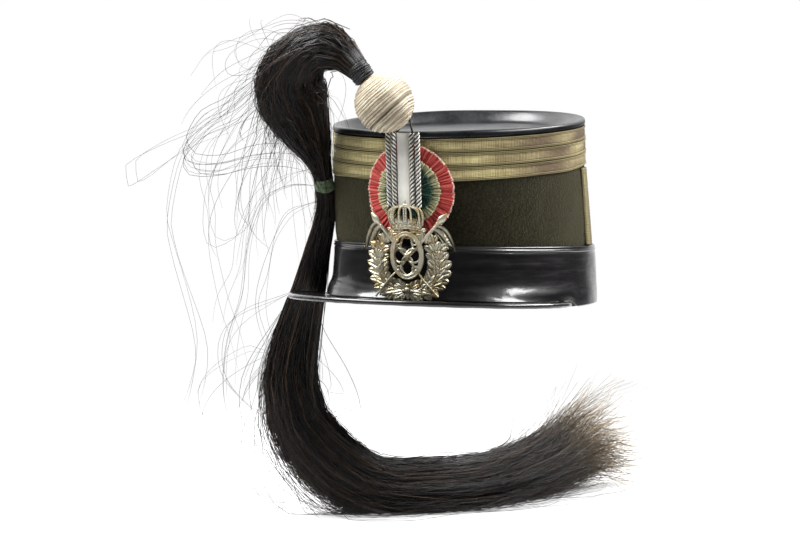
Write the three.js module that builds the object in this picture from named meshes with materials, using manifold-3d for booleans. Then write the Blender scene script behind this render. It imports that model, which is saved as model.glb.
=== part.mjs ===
// Kepi: a cloth crown with woven lace, a leather band, top and peak, a cockade held by a corded loop,
// a cast badge, and a wound ball that carries a long falling plume.
// Millimetres, +Z up. The front is -Y and the wearer's left is +X.
// The origin is the centre of the head opening.

import * as THREE from "three";
import { mergeVertices } from "three/addons/utils/BufferGeometryUtils.js";
import Module from "manifold-3d";

const wasm = await Module();
wasm.setup();

const { lerp, degToRad, smoothstep } = THREE.MathUtils;

// Outer surface of the trim, ring by ring from the head opening up: half sizes, the centre's y,
// the heights at front and rear, and how far the edge lifts over the brow.
const RINGS = [
  { ring: "base", halfLength: 100, halfWidth: 82, y: 0, front: 0, rear: 0, brow: 3.4 },
  { ring: "band", halfLength: 97.9, halfWidth: 80.3, y: -1, front: 39.2, rear: 34.7, brow: 0 },
  { ring: "lace", halfLength: 94.3, halfWidth: 77.9, y: -12.4, front: 77.4, rear: 92.6, brow: 0 },
  { ring: "skirt", halfLength: 93.5, halfWidth: 77.2, y: -14, front: 103.3, rear: 117.2, brow: 0 },
  { ring: "rim", halfLength: 93.3, halfWidth: 77, y: -14.2, front: 107.1, rear: 121, brow: 0 },
];
const SIZES = ["halfLength", "halfWidth", "y", "front", "rear", "brow"];
const LEVEL = { base: 0, band: 1, lace: 2, skirt: 3, rim: 4 };
const FACETS = 40;
const GAP = 0.3;
const EDGE_GAP_LEVEL = 0.015; // a gap of about 0.4 mm, in levels

const TRIM_WALL = 1.5;
const CLOTH = { face: TRIM_WALL + GAP, wall: 2.5, topLevel: 3.03 };

const LACE = { strips: 3, ridge: 0.09, dip: 0.6, gapLevel: 0.012 };

const BAND = { flare: 8.5, flarePower: 6, lift: 0.096, liftEndDeg: 74, liftFadeDeg: 6 };
const PEAK = {
  reach: 38,
  endDeg: 73,
  power: 4,
  plateEndDeg: 70.5,
  thick: 2.2,
  rise: 1.9,
  bindingRadius: 1.65,
  bindingEndDeg: 69.5,
};

const BRAID = { footDeg: 95, topDeg: 99.5, width: 9, crown: 1.1 };

// Section of the leather top: how far in from the rim's outer surface, and how far below the rim's plane.
const NOMINAL = 100; // stands for the half size of any ring while a section is turned
const TOP_EDGE = 12;
const TOP_SECTION = [
  { at: "centre of the floor", inset: NOMINAL, drop: 7.6 },
  { at: "floor's edge", inset: TOP_EDGE, drop: 7.6 },
  { at: "rim's inner edge", inset: 4.5, drop: 0.6 },
  { at: "crest", inset: 1.6, drop: 0 },
  { at: "rim's outer edge", inset: 0.2, drop: 0.9 },
  { at: "skirt's foot", inset: 0, drop: 3.5 },
  { at: "skirt's inner foot", inset: TRIM_WALL, drop: 3.5 },
  { at: "shoulder", inset: TRIM_WALL, drop: 2.9 },
  { at: "shoulder's inner edge", inset: 4.6, drop: 2.9 },
  { at: "floor's underside edge", inset: 12.1, drop: 9.8 },
  { at: "centre of the underside", inset: NOMINAL, drop: 9.8 },
];

// Back faces of the ornaments on the front: each leans from its top to its foot and is bent round the crown.
const FRONT_BEND = 70;
const FACES = {
  cockade: { topZ: 98.8, topY: -108.4, footZ: 42.4, footY: -104.7 },
  loop: { topZ: 104.5, topY: -110.9, footZ: 61, footY: -109.9 },
  badge: { topZ: 67.7, topY: -111.9, footZ: 7.2, footY: -104.6 },
};

const COCKADE = { x: 4, z: 70.6, pleats: 18, pleatDepth: 0.35 };
const COCKADE_RINGS = [
  { name: "cockade_green", inner: 0, outer: 12.9, innerHigh: 1.2, outerHigh: 1.9, colour: 0x1d5a3c },
  { name: "cockade_white", inner: 13.2, outer: 19.2, innerHigh: 2, outerHigh: 1.9, colour: 0xcfc79a },
  { name: "cockade_red", inner: 19.5, outer: 28.2, innerHigh: 1.9, outerHigh: 1.2, colour: 0xb8302f },
];

// The loop leans: topX and footX are its middle's places at its two ends.
const LOOP = {
  ribbonWidth: 7.4,
  ribbonThick: 0.7,
  cordRadius: 1.6,
  topZ: 105.5,
  topX: 0.4,
  footX: 1.9,
  cordFootZ: 63.5,
  ribbonFootZ: 61.5,
};

const BALL = { centre: new THREE.Vector3(-9.4, -117, 123.7), radius: 17.6, turns: 11, groove: 0.6 };
const BALL_AXIS = new THREE.Vector3(-16, -4.7, 20.9).normalize();
const NECK = { start: 17.4, end: 28.2, hairRadius: 5.6, bindingWall: 1.2 };

// The wire that holds the ball: a hairpin that passes behind it, and whose legs go down behind the loop.
const WIRE_RADIUS = 0.6;
const WIRE = [
  { x: -4.6, y: -109.3, z: 99.6 },
  { x: -4.6, y: -109.5, z: 104 },
  { x: -4.1, y: -109.3, z: 106.9 },
  { x: -2.4, y: -107.2, z: 109.6 },
  { x: -0.6, y: -105.2, z: 112.2 },
  { x: 1.6, y: -105.2, z: 113.9 },
  { x: 3.4, y: -107.4, z: 113.4 },
  { x: 4.6, y: -109, z: 110.4 },
  { x: 5.7, y: -109.5, z: 107.2 },
  { x: 6.3, y: -109.6, z: 103.6 },
  { x: 6.4, y: -109.4, z: 99.6 },
];

// The plume's sections from the ball to the tail. wide lies in the plane that the plume hangs in,
// and deep lies across it.
const PLUME_FACING_DEG = 20;
const FLOOR_Z = -141.5;
const PLUME = [
  { x: -20.2, y: -120.2, z: 137.9, wide: 11.2, deep: 11.2 },
  { x: -26.8, y: -122.1, z: 146.4, wide: 11.2, deep: 11.2 },
  { x: -33, y: -121.5, z: 151, wide: 19, deep: 15 },
  { x: -44, y: -121, z: 156, wide: 26, deep: 22 },
  { x: -56, y: -119, z: 154, wide: 28, deep: 26 },
  { x: -66, y: -115, z: 147, wide: 33, deep: 28 },
  { x: -73, y: -109, z: 139, wide: 39, deep: 30 },
  { x: -76, y: -101, z: 128, wide: 42, deep: 30 },
  { x: -76, y: -93, z: 119, wide: 38, deep: 28 },
  { x: -75, y: -85, z: 109, wide: 31, deep: 24 },
  { x: -73, y: -78, z: 99, wide: 23, deep: 18 },
  { x: -71, y: -72, z: 90, wide: 14, deep: 12 },
  { x: -70, y: -67, z: 79, wide: 8.4, deep: 8.4 },
  { x: -71, y: -61, z: 69, wide: 8.4, deep: 8.4 },
  { x: -73, y: -55, z: 54, wide: 10, deep: 10 },
  { x: -80, y: -48, z: 38, wide: 14, deep: 13 },
  { x: -86, y: -42, z: 24, wide: 18, deep: 15 },
  { x: -92, y: -35, z: 8, wide: 20, deep: 16 },
  { x: -98, y: -33, z: -9, wide: 24, deep: 20 },
  { x: -103, y: -33, z: -28, wide: 28, deep: 24 },
  { x: -106, y: -33, z: -52, wide: 31, deep: 28 },
  { x: -104, y: -31, z: -68, wide: 33, deep: 30 },
  { x: -101, y: -29, z: -81, wide: 35, deep: 33 },
  { x: -93, y: -24, z: -95, wide: 38, deep: 36 },
  { x: -80, y: -15, z: -110, wide: 39, deep: 38 },
  { x: -67, y: -5, z: -120, wide: 38, deep: 40 },
  { x: -54, y: 9, z: -125, wide: 36, deep: 42 },
  { x: -35, y: 28, z: -126, wide: 36, deep: 44 },
  { x: -19, y: 50, z: -126, wide: 36, deep: 46 },
  { x: -6, y: 81, z: -125, wide: 36, deep: 46 },
  { x: 8, y: 114, z: -121, wide: 39, deep: 44 },
  { x: 19, y: 146, z: -114, wide: 44, deep: 40 },
  { x: 29, y: 173, z: -106, wide: 50, deep: 32 },
  { x: 38, y: 188, z: -104, wide: 34, deep: 20 },
];
const PLUME_LOCKS = 7;
const LOCK_VALLEY = 0.84; // how far the valley between two locks reaches, as a share of the section
const PLUME_TWIST = 1.6; // turns of the locks, in locks, from the ball to the tail

// Ends of the locks that fan out of the tail.
const TAIL_TIPS = [
  { x: 40, y: 186, z: -72, root: 6 },
  { x: 58, y: 203, z: -77, root: 6 },
  { x: 50, y: 207, z: -90, root: 7 },
  { x: 63, y: 215, z: -101, root: 7 },
  { x: 61, y: 219, z: -114, root: 7 },
  { x: 51, y: 213, z: -130, root: 7 },
  { x: 42, y: 196, z: -136, root: 6 },
];

// Thin locks that have sprung loose: one goes out from the arch and back to the tie, one hangs free
// and one makes a loop beside the fall.
const LOOSE_LOCK = { radius: 1.3, sides: 4, steps: 18 };
const LOOSE_LOCKS = [
  [
    { x: -70, y: -114, z: 145 },
    { x: -83, y: -123, z: 143 },
    { x: -94, y: -123, z: 129 },
    { x: -108, y: -124, z: 117 },
    { x: -124, y: -126, z: 109 },
    { x: -136, y: -126, z: 95 },
    { x: -135, y: -118, z: 83 },
    { x: -122, y: -109, z: 83 },
    { x: -108, y: -99, z: 88 },
    { x: -93, y: -90, z: 90 },
    { x: -71, y: -71, z: 86 },
  ],
  [
    { x: -74, y: -108, z: 137 },
    { x: -89, y: -122, z: 133 },
    { x: -105, y: -125, z: 122 },
    { x: -121, y: -129, z: 110 },
    { x: -137, y: -132, z: 95 },
    { x: -147, y: -130, z: 58 },
    { x: -145, y: -127, z: 36 },
    { x: -132, y: -117, z: -17 },
    { x: -135, y: -115, z: -46 },
    { x: -145, y: -116, z: -73 },
  ],
  [
    { x: -92, y: -36, z: 8 },
    { x: -119, y: -45, z: -3 },
    { x: -133, y: -49, z: -10 },
    { x: -142, y: -52, z: -19 },
    { x: -146, y: -53, z: -32 },
    { x: -145, y: -52, z: -49 },
    { x: -136, y: -48, z: -64 },
    { x: -124, y: -43, z: -75 },
    { x: -104, y: -34, z: -84 },
  ],
];

const TIE = { x: -70.5, y: -64, z: 74, length: 8, inner: 4.75, wall: 0.8 };

// The badge, in its own flat frame before it is bent: x across, z up, and its relief outwards.
const BADGE = {
  x: 3.4,
  wire: 0.75,
  oval: { z: 33.4, halfWidth: 10, halfHeight: 14.4, wire: 1.25 },
  petals: [
    { x: 0, z: 40.6, halfWidth: 3.6, halfHeight: 5.6 },
    { x: 0, z: 26.2, halfWidth: 3.6, halfHeight: 5.6 },
    { x: -4.9, z: 33.4, halfWidth: 4.1, halfHeight: 3.4 },
    { x: 4.9, z: 33.4, halfWidth: 4.1, halfHeight: 3.4 },
  ],
  lances: [
    { tipX: -23.3, tipZ: 59.4, buttX: 18.3, buttZ: 9 },
    { tipX: 24.6, tipZ: 58.3, buttX: -19.6, buttZ: 9.4 },
  ],
  lanceHead: 10,
  spray: { footZ: 12, bulgeX: 23, bulgeZ: 14, topX: 17.5, topZ: 47, leaves: 5, leafLength: 10, leafWidth: 4.4 },
  crown: { footZ: 48.2, bandHigh: 4, halfWidth: 9.6, archTopZ: 62.4, arches: 5 },
};
const PENNONS = [
  [
    { x: -18.4, z: 52.5 },
    { x: -24.6, z: 48.5 },
    { x: -27, z: 36.5 },
    { x: -24, z: 39.5 },
    { x: -21.5, z: 36 },
    { x: -17, z: 45 },
  ],
  [
    { x: 18.4, z: 51.5 },
    { x: 24.5, z: 47.5 },
    { x: 31, z: 34.6 },
    { x: 27.2, z: 37.4 },
    { x: 25.4, z: 33 },
    { x: 16.6, z: 45 },
  ],
];

// Gives every vertex of a three.js geometry its place, welds it and turns its faces outwards.
function reshape(geometry, place) {
  const bare = new THREE.BufferGeometry();
  const from = geometry.getAttribute("position");
  const to = new Float32Array(from.count * 3);
  const vertex = new THREE.Vector3();
  for (let i = 0; i < from.count; i++) place(vertex.fromBufferAttribute(from, i)).toArray(to, i * 3);
  bare.setAttribute("position", new THREE.BufferAttribute(to, 3));
  bare.setIndex(geometry.index);
  return facingOut(mergeVertices(bare, 1e-3));
}

function facingOut(geometry) {
  const at = geometry.getAttribute("position");
  const corners = geometry.index.array;
  const [a, b, c] = [new THREE.Vector3(), new THREE.Vector3(), new THREE.Vector3()];
  let volume = 0;
  for (let i = 0; i < corners.length; i += 3) {
    a.fromBufferAttribute(at, corners[i]);
    b.fromBufferAttribute(at, corners[i + 1]);
    c.fromBufferAttribute(at, corners[i + 2]);
    volume += a.dot(b.cross(c));
  }
  if (volume < 0)
    for (let i = 0; i < corners.length; i += 3)
      [corners[i + 1], corners[i + 2]] = [corners[i + 2], corners[i + 1]];
  return geometry;
}

function solidOf(geometry) {
  const welded = reshape(geometry, (v) => v);
  return new wasm.Manifold(
    new wasm.Mesh({
      numProp: 3,
      vertProperties: welded.getAttribute("position").array,
      triVerts: new Uint32Array(welded.index.array),
    }),
  );
}

function joined(geometries) {
  const mesh = geometries
    .map(solidOf)
    .reduce((sum, solid) => sum.add(solid))
    .getMesh();
  const geometry = new THREE.BufferGeometry();
  geometry.setAttribute("position", new THREE.BufferAttribute(new Float32Array(mesh.vertProperties), 3));
  geometry.setIndex(new THREE.BufferAttribute(new Uint32Array(mesh.triVerts), 1));
  return geometry;
}

const round = (value) => Math.round(value * 1e4) / 1e4;

// Facet number of a vertex of a turned or round geometry, the same on both sides of its seam.
function facetOf(vertex, facets) {
  const turn = Math.atan2(vertex.x, vertex.z) / (2 * Math.PI);
  return (Math.round(turn * facets) + facets) % facets;
}

function ringAt(level) {
  const i = Math.min(Math.floor(level), RINGS.length - 2);
  return Object.fromEntries(SIZES.map((size) => [size, lerp(RINGS[i][size], RINGS[i + 1][size], level - i)]));
}

// Point of the crown's wall: the angle runs from the front towards the wearer's left.
function wallPoint(angle, inset, level) {
  const ring = ringAt(level);
  const ahead = Math.cos(angle);
  return new THREE.Vector3(
    (ring.halfWidth - inset) * Math.sin(angle),
    ring.y - (ring.halfLength - inset) * ahead,
    lerp(ring.rear, ring.front, (1 + ahead) / 2) + ring.brow * Math.max(ahead, 0) ** 2,
  );
}

// Point of the top, inside the rim and parallel to its plane.
function topPoint(angle, inset, drop) {
  const ring = RINGS[LEVEL.rim];
  const inner = NOMINAL - TOP_EDGE;
  const half = (size) => (inset <= TOP_EDGE ? size - inset : ((size - TOP_EDGE) * (NOMINAL - inset)) / inner);
  const ahead = half(ring.halfLength) * Math.cos(angle);
  const slope = (ring.front - ring.rear) / (2 * ring.halfLength);
  return new THREE.Vector3(
    half(ring.halfWidth) * Math.sin(angle),
    ring.y - ahead,
    (ring.front + ring.rear) / 2 + slope * ahead - drop,
  );
}

const signedAngle = (facet) => ((facet > FACETS / 2 ? facet - FACETS : facet) * 2 * Math.PI) / FACETS;

// A closed section turned round the crown. Each corner is [inset, level or drop].
function turned(section, place) {
  const corners = section.map(([inset, height]) => new THREE.Vector2(NOMINAL - inset, height));
  return reshape(new THREE.LatheGeometry(corners, FACETS), (v) =>
    place(signedAngle(facetOf(v, FACETS)), round(NOMINAL - Math.hypot(v.x, v.z)), round(v.y)),
  );
}

const closed = (section) => [...section, section[0]];

function clothCrown() {
  const outside = [0, 1, 2, CLOTH.topLevel].map((level) => [CLOTH.face, level]);
  const inside = [CLOTH.topLevel, 2, 1, 0].map((level) => [CLOTH.face + CLOTH.wall, level]);
  return turned(closed([...outside, ...inside]), wallPoint);
}

const peakShare = (angle) => Math.max(0, 1 - (Math.abs(angle) / degToRad(PEAK.endDeg)) ** PEAK.power);

// The band stands on the peak in front, and its foot flares out over the peak's root.
function bandPoint(angle, inset, level) {
  const off = degToRad(BAND.liftEndDeg) + degToRad(BAND.liftFadeDeg) - Math.abs(angle);
  const lifted = BAND.lift * smoothstep(off, 0, degToRad(BAND.liftFadeDeg));
  const raised = lerp(lifted, 1, level);
  return wallPoint(angle, inset - BAND.flare * peakShare(angle) * (1 - raised) ** BAND.flarePower, raised);
}

function leatherBand() {
  const levels = [0, 0.07, 0.16, 0.32, 1];
  const outside = levels.map((level) => [0, level]);
  const inside = levels.map((level) => [TRIM_WALL, level]).reverse();
  return turned(closed([...outside, ...inside]), bandPoint);
}

function laceStrip(index) {
  const pitch = (LEVEL.skirt - LEVEL.lace - EDGE_GAP_LEVEL) / LACE.strips;
  const low = LEVEL.lace + index * pitch;
  const high = low + pitch - LACE.gapLevel;
  const section = [
    [TRIM_WALL, low],
    [0, low],
    [LACE.dip, low + LACE.ridge],
    [LACE.dip, high - LACE.ridge],
    [0, high],
    [TRIM_WALL, high],
  ];
  return turned(closed(section), wallPoint);
}

const leatherTop = () => turned(TOP_SECTION.map(({ inset, drop }) => [inset, drop]), topPoint);

// How fast the peak's outline closes in on the crown, per millimetre along it.
function peakSlope(angle) {
  const end = degToRad(PEAK.endDeg);
  const reach = PEAK.reach / RINGS[LEVEL.base].halfLength;
  return (reach * PEAK.power * (Math.abs(angle) / end) ** (PEAK.power - 1)) / end;
}

// Point of the peak: share 0 is its root at the cloth and share 1 its bound edge, less an inset square to it.
function peakPoint(angle, edgeInset, share, high) {
  const outline = PEAK.reach * peakShare(angle) - edgeInset * Math.hypot(1, peakSlope(angle));
  const edgeRise = PEAK.rise * Math.sqrt(peakShare(angle)) + (2 * PEAK.bindingRadius - PEAK.thick) / 2;
  const point = wallPoint(angle, lerp(TRIM_WALL, -outline, share), LEVEL.base);
  point.z += edgeRise * share + high;
  return point;
}

function peakPlate() {
  const end = degToRad(PEAK.plateEndDeg);
  const edgeInset = 2 * PEAK.bindingRadius + GAP;
  return reshape(new THREE.BoxGeometry(2, 1, 1, 30, 2, 1), (v) =>
    peakPoint(v.x * end, edgeInset, round(v.y + 0.5), (v.z + 0.5) * PEAK.thick),
  );
}

function peakBinding() {
  const end = degToRad(PEAK.bindingEndDeg);
  const points = Array.from({ length: 31 }, (_, i) =>
    peakPoint(lerp(-end, end, i / 30), PEAK.bindingRadius, 1, PEAK.thick / 2),
  );
  return tube(points, PEAK.bindingRadius, 6, 34);
}

function tube(points, radius, sides, steps) {
  const section = new THREE.Shape(
    Array.from({ length: sides }, (_, i) => {
      const turn = (2 * Math.PI * i) / sides;
      return new THREE.Vector2(radius * Math.cos(turn), radius * Math.sin(turn));
    }),
  );
  return new THREE.ExtrudeGeometry(section, {
    steps,
    curveSegments: 1,
    extrudePath: new THREE.CatmullRomCurve3(points.map(({ x, y, z }) => new THREE.Vector3(x, y, z))),
  });
}

function sideBraid(side) {
  const halfAngle = BRAID.width / 2 / RINGS[LEVEL.band].halfWidth;
  return reshape(new THREE.BoxGeometry(2, 1, 1, 2, 6, 1), (v) => {
    const angle = side * degToRad(lerp(BRAID.footDeg, BRAID.topDeg, v.y + 0.5)) + v.x * halfAngle;
    const proud = v.z > 0 ? BRAID.crown * (1 - v.x ** 2) : -TRIM_WALL;
    return wallPoint(angle, -proud, lerp(LEVEL.band + EDGE_GAP_LEVEL, LEVEL.lace - EDGE_GAP_LEVEL, v.y + 0.5));
  });
}

// Point on a front ornament: across and up its face, and out from its back.
function frontPoint(face, across, up, out) {
  const turn = across / FRONT_BEND;
  const lean = (up - face.footZ) / (face.topZ - face.footZ);
  return new THREE.Vector3(
    (FRONT_BEND + out) * Math.sin(turn),
    lerp(face.footY, face.topY, lean) + FRONT_BEND - (FRONT_BEND + out) * Math.cos(turn),
    up,
  );
}

function cockadeRing({ inner, outer, innerHigh, outerHigh }) {
  const section = [
    new THREE.Vector2(inner, 0),
    new THREE.Vector2(outer, 0),
    new THREE.Vector2(outer, outerHigh),
    new THREE.Vector2(inner, innerHigh),
  ];
  if (inner > 0) section.push(section[0]);
  const facets = 2 * COCKADE.pleats;
  return reshape(new THREE.LatheGeometry(section, facets), (v) => {
    const facet = facetOf(v, facets);
    const radius = round(Math.hypot(v.x, v.z));
    const turn = (2 * Math.PI * facet) / facets;
    const folded = facet % 2 && radius > 0 ? 1 - COCKADE.pleatDepth : 1;
    return frontPoint(
      FACES.cockade,
      COCKADE.x + radius * Math.sin(turn),
      COCKADE.z + radius * Math.cos(turn),
      v.y * folded,
    );
  });
}

// Point on the loop, across from its leaning middle.
function loopPoint(across, z, out) {
  const middle = lerp(LOOP.footX, LOOP.topX, (z - LOOP.ribbonFootZ) / (LOOP.topZ - LOOP.ribbonFootZ));
  return frontPoint(FACES.loop, middle + across, z, out);
}

function loopRibbon() {
  return reshape(new THREE.BoxGeometry(LOOP.ribbonWidth, 1, LOOP.ribbonThick, 2, 6, 1), (v) =>
    loopPoint(v.x, lerp(LOOP.ribbonFootZ, LOOP.topZ, v.y + 0.5), v.z + LOOP.ribbonThick / 2),
  );
}

// The cords lie two on each side of the ribbon, counted from the wearer's right.
function loopCord(index) {
  const place = index - 1.5;
  const beyond = LOOP.ribbonWidth / 2 + GAP + LOOP.cordRadius;
  const across = Math.sign(place) * (beyond + (Math.abs(place) - 0.5) * (2 * LOOP.cordRadius + GAP));
  const points = Array.from({ length: 7 }, (_, i) =>
    loopPoint(across, lerp(LOOP.cordFootZ, LOOP.topZ, i / 6), LOOP.cordRadius),
  );
  return tube(points, LOOP.cordRadius, 6, 6);
}

function woundBall() {
  const count = 2 * BALL.turns;
  const profile = Array.from({ length: count + 1 }, (_, i) => {
    const radius = BALL.radius - (i % 2 ? 0 : BALL.groove);
    const turn = (Math.PI * i) / count;
    return new THREE.Vector2(i % count ? radius * Math.sin(turn) : 0, -radius * Math.cos(turn));
  });
  return reshape(new THREE.LatheGeometry(profile, 12), (v) => v);
}

function collar(inner, outer, length) {
  const profile = [
    new THREE.Vector2(inner, -length / 2),
    new THREE.Vector2(outer, -length / 2),
    new THREE.Vector2(outer, length / 2),
    new THREE.Vector2(inner, length / 2),
    new THREE.Vector2(inner, -length / 2),
  ];
  return reshape(new THREE.LatheGeometry(profile, 12), (v) => v);
}

// A closed solid through sections. corner(facet, step, reach) gives each corner,
// and reach is 0 at the caps' centres.
function loft(facets, steps, corner) {
  return reshape(new THREE.CylinderGeometry(1, 1, steps, facets, steps), (v) =>
    corner(facetOf(v, facets), Math.round(v.y + steps / 2), Math.hypot(v.x, v.z) > 0.5 ? 1 : 0),
  );
}

const facing = degToRad(PLUME_FACING_DEG);
const ACROSS_PLUME = new THREE.Vector3(-Math.sin(facing), Math.cos(facing), 0);

function plumeTrunk() {
  const path = new THREE.CatmullRomCurve3(PLUME.map(({ x, y, z }) => new THREE.Vector3(x, y, z)));
  const facets = 3 * PLUME_LOCKS;
  const steps = PLUME.length - 1;
  return loft(facets, steps, (facet, step, reach) => {
    const row = PLUME[step];
    const share = step / steps;
    const along = path.getTangent(share);
    const wideWay = new THREE.Vector3().crossVectors(along, ACROSS_PLUME).normalize();
    const deepWay = new THREE.Vector3().crossVectors(wideWay, along);
    const turn = (2 * Math.PI * (facet + 3 * PLUME_TWIST * share)) / facets;
    const lock = facet % 3 ? 1 : LOCK_VALLEY;
    const point = new THREE.Vector3(row.x, row.y, row.z)
      .addScaledVector(wideWay, (reach * lock * row.wide * Math.cos(turn)) / 2)
      .addScaledVector(deepWay, (reach * lock * row.deep * Math.sin(turn)) / 2);
    point.z = Math.max(point.z, FLOOR_Z);
    return point;
  });
}

function tailLock(tip) {
  const [before, end] = [PLUME.at(-3), PLUME.at(-1)];
  const point = new THREE.Vector3(tip.x, tip.y, tip.z);
  const spread = new THREE.Vector3(tip.x - end.x, tip.y - end.y, tip.z - end.z);
  const root = new THREE.Vector3(before.x, before.y, before.z).addScaledVector(spread, 0.3);
  const along = point.clone().sub(root).normalize();
  const side = new THREE.Vector3().crossVectors(along, ACROSS_PLUME).normalize();
  const other = new THREE.Vector3().crossVectors(side, along);
  const shares = [0, 0.4, 0.75, 1];
  const widths = [1, 1.15, 0.8, 0.15];
  return loft(6, 3, (facet, step, reach) => {
    const turn = (2 * Math.PI * facet) / 6;
    const width = reach * tip.root * widths[step];
    const corner = root
      .clone()
      .lerp(point, shares[step])
      .addScaledVector(side, width * Math.cos(turn))
      .addScaledVector(other, width * Math.sin(turn));
    corner.z = Math.max(corner.z, FLOOR_Z);
    return corner;
  });
}

const looseLock = (points) => tube(points, LOOSE_LOCK.radius, LOOSE_LOCK.sides, LOOSE_LOCK.steps);

const plume = () => joined([plumeTrunk(), ...TAIL_TIPS.map(tailLock), ...LOOSE_LOCKS.map(looseLock)]);

const flat = (x, z, out) => new THREE.Vector3(x, z, out);

function leaf(x, z, turn, length, width, high) {
  return new THREE.OctahedronGeometry(1)
    .scale(length / 2, width / 2, high)
    .rotateZ(turn)
    .translate(x, z, high);
}

function rod(from, to, radius, sides = 4) {
  const along = to.clone().sub(from);
  const length = along.length();
  const turn = new THREE.Quaternion().setFromUnitVectors(THREE.Object3D.DEFAULT_UP, along.normalize());
  return new THREE.CylinderGeometry(radius, radius, length, sides)
    .applyQuaternion(turn)
    .translate((from.x + to.x) / 2, (from.y + to.y) / 2, (from.z + to.z) / 2);
}

function ovalRing({ x = 0, z, halfWidth, halfHeight, wire }, sides, facets) {
  return new THREE.TorusGeometry(1, wire / halfWidth, sides, facets)
    .scale(halfWidth, halfHeight, halfWidth)
    .translate(x, z, wire + 0.3);
}

function lance({ tipX, tipZ, buttX, buttZ }) {
  const tip = flat(tipX, tipZ, 2);
  const butt = flat(buttX, buttZ, 2);
  const along = butt.clone().sub(tip).normalize();
  const neck = tip.clone().addScaledVector(along, BADGE.lanceHead - 1);
  const middle = tip.clone().addScaledVector(along, BADGE.lanceHead / 2);
  const turn = Math.atan2(along.y, along.x);
  return [leaf(middle.x, middle.y, turn, BADGE.lanceHead, 4, 2), rod(neck, butt, BADGE.wire)];
}

// One spray of the wreath: a curved stem with a pair of leaves at each step and one at its end.
function spray(side) {
  const { footZ, bulgeX, bulgeZ, topX, topZ, leaves, leafLength, leafWidth } = BADGE.spray;
  const stem = new THREE.QuadraticBezierCurve3(
    flat(0, footZ, 1.2),
    flat(side * bulgeX, bulgeZ, 1.2),
    flat(side * topX, topZ, 1.2),
  );
  const pieces = [tube(stem.getPoints(6), BADGE.wire, 4, 6)];
  for (let i = 0; i <= leaves; i++) {
    const share = (i + 0.6) / (leaves + 0.6);
    const at = stem.getPoint(share);
    const along = stem.getTangent(share);
    const heading = Math.atan2(along.y, along.x);
    const turns = i === leaves ? [0] : [0.75, -0.75];
    for (const turn of turns) {
      const reach = leafLength * 0.38;
      pieces.push(
        leaf(
          at.x + reach * Math.cos(heading + turn),
          at.y + reach * Math.sin(heading + turn),
          heading + turn,
          leafLength,
          leafWidth,
          1.5,
        ),
      );
    }
  }
  return pieces;
}

function pennon(outline) {
  const shape = new THREE.Shape(outline.map(({ x, z }) => new THREE.Vector2(x, z)));
  return new THREE.ExtrudeGeometry(shape, { depth: 1.1, bevelEnabled: false }).translate(0, 0, 0.6);
}

function badgeCrown() {
  const { footZ, bandHigh, halfWidth, archTopZ, arches } = BADGE.crown;
  const bandTop = footZ + bandHigh;
  const pieces = [new THREE.BoxGeometry(2 * halfWidth, bandHigh, 2.4).translate(0, footZ + bandHigh / 2, 1.5)];
  for (let i = 0; i < arches; i++) {
    const x = lerp(-halfWidth + 1, halfWidth - 1, i / (arches - 1));
    const arch = new THREE.QuadraticBezierCurve3(
      flat(x, bandTop - 0.6, 1.6),
      flat(1.55 * x, archTopZ, 1.6),
      flat(0, archTopZ, 2),
    );
    pieces.push(tube(arch.getPoints(6), BADGE.wire, 4, 4));
    pieces.push(leaf(x, bandTop + 0.8, Math.PI / 2, 4.4, 3, 1.8));
  }
  pieces.push(new THREE.OctahedronGeometry(2).translate(0, archTopZ + 0.6, 2));
  pieces.push(new THREE.BoxGeometry(1, 4, 1.2).translate(0, archTopZ + 3.3, 2));
  pieces.push(new THREE.BoxGeometry(3, 1, 1.2).translate(0, archTopZ + 3.7, 2));
  return pieces;
}

function castBadge() {
  const foot = [-0.9, 0, 0.9].map((turn) =>
    leaf(5.5 * Math.sin(turn), 15.4 - 4.2 * Math.cos(turn), turn - Math.PI / 2, 8, 4.4, 2),
  );
  const flatBadge = joined([
    ovalRing(BADGE.oval, 4, 20),
    ...BADGE.petals.map((petal) => ovalRing({ ...petal, wire: BADGE.wire }, 4, 10)),
    new THREE.OctahedronGeometry(2.6).translate(0, BADGE.oval.z, 1.8),
    ...BADGE.lances.flatMap(lance),
    ...[-1, 1].flatMap(spray),
    ...PENNONS.map(pennon),
    ...foot,
    ...badgeCrown(),
  ]);
  return reshape(flatBadge, (v) => frontPoint(FACES.badge, BADGE.x + v.x, v.y, v.z));
}

const FINISHES = {
  cloth: { color: 0x3a3a26, roughness: 0.95, metalness: 0 },
  lace: { color: 0x8a7a3e, roughness: 0.6, metalness: 0.3 },
  leather: { color: 0x17151a, roughness: 0.25, metalness: 0 },
  ribbon: { color: 0xb4b6ae, roughness: 0.6, metalness: 0.1 },
  cord: { color: 0xa9a49a, roughness: 0.4, metalness: 0.6 },
  metal: { color: 0xb5ab8c, roughness: 0.35, metalness: 0.9 },
  ball: { color: 0xc9bda0, roughness: 0.7, metalness: 0.1 },
  wire: { color: 0x2a2622, roughness: 0.5, metalness: 0.8 },
  hair: { color: 0x15120f, roughness: 0.5, metalness: 0 },
  thread: { color: 0x1a1a1c, roughness: 0.7, metalness: 0 },
  tie: { color: 0x50603f, roughness: 0.8, metalness: 0 },
};

const kepi = new THREE.Group();

function addPiece(name, geometry, finish) {
  const mesh = new THREE.Mesh(geometry, new THREE.MeshStandardMaterial(finish));
  mesh.name = name;
  kepi.add(mesh);
  return mesh;
}

// Stands a piece that is turned about +Y along another axis.
function stand(mesh, centre, axis) {
  mesh.position.copy(centre);
  mesh.quaternion.setFromUnitVectors(THREE.Object3D.DEFAULT_UP, axis);
}

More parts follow.
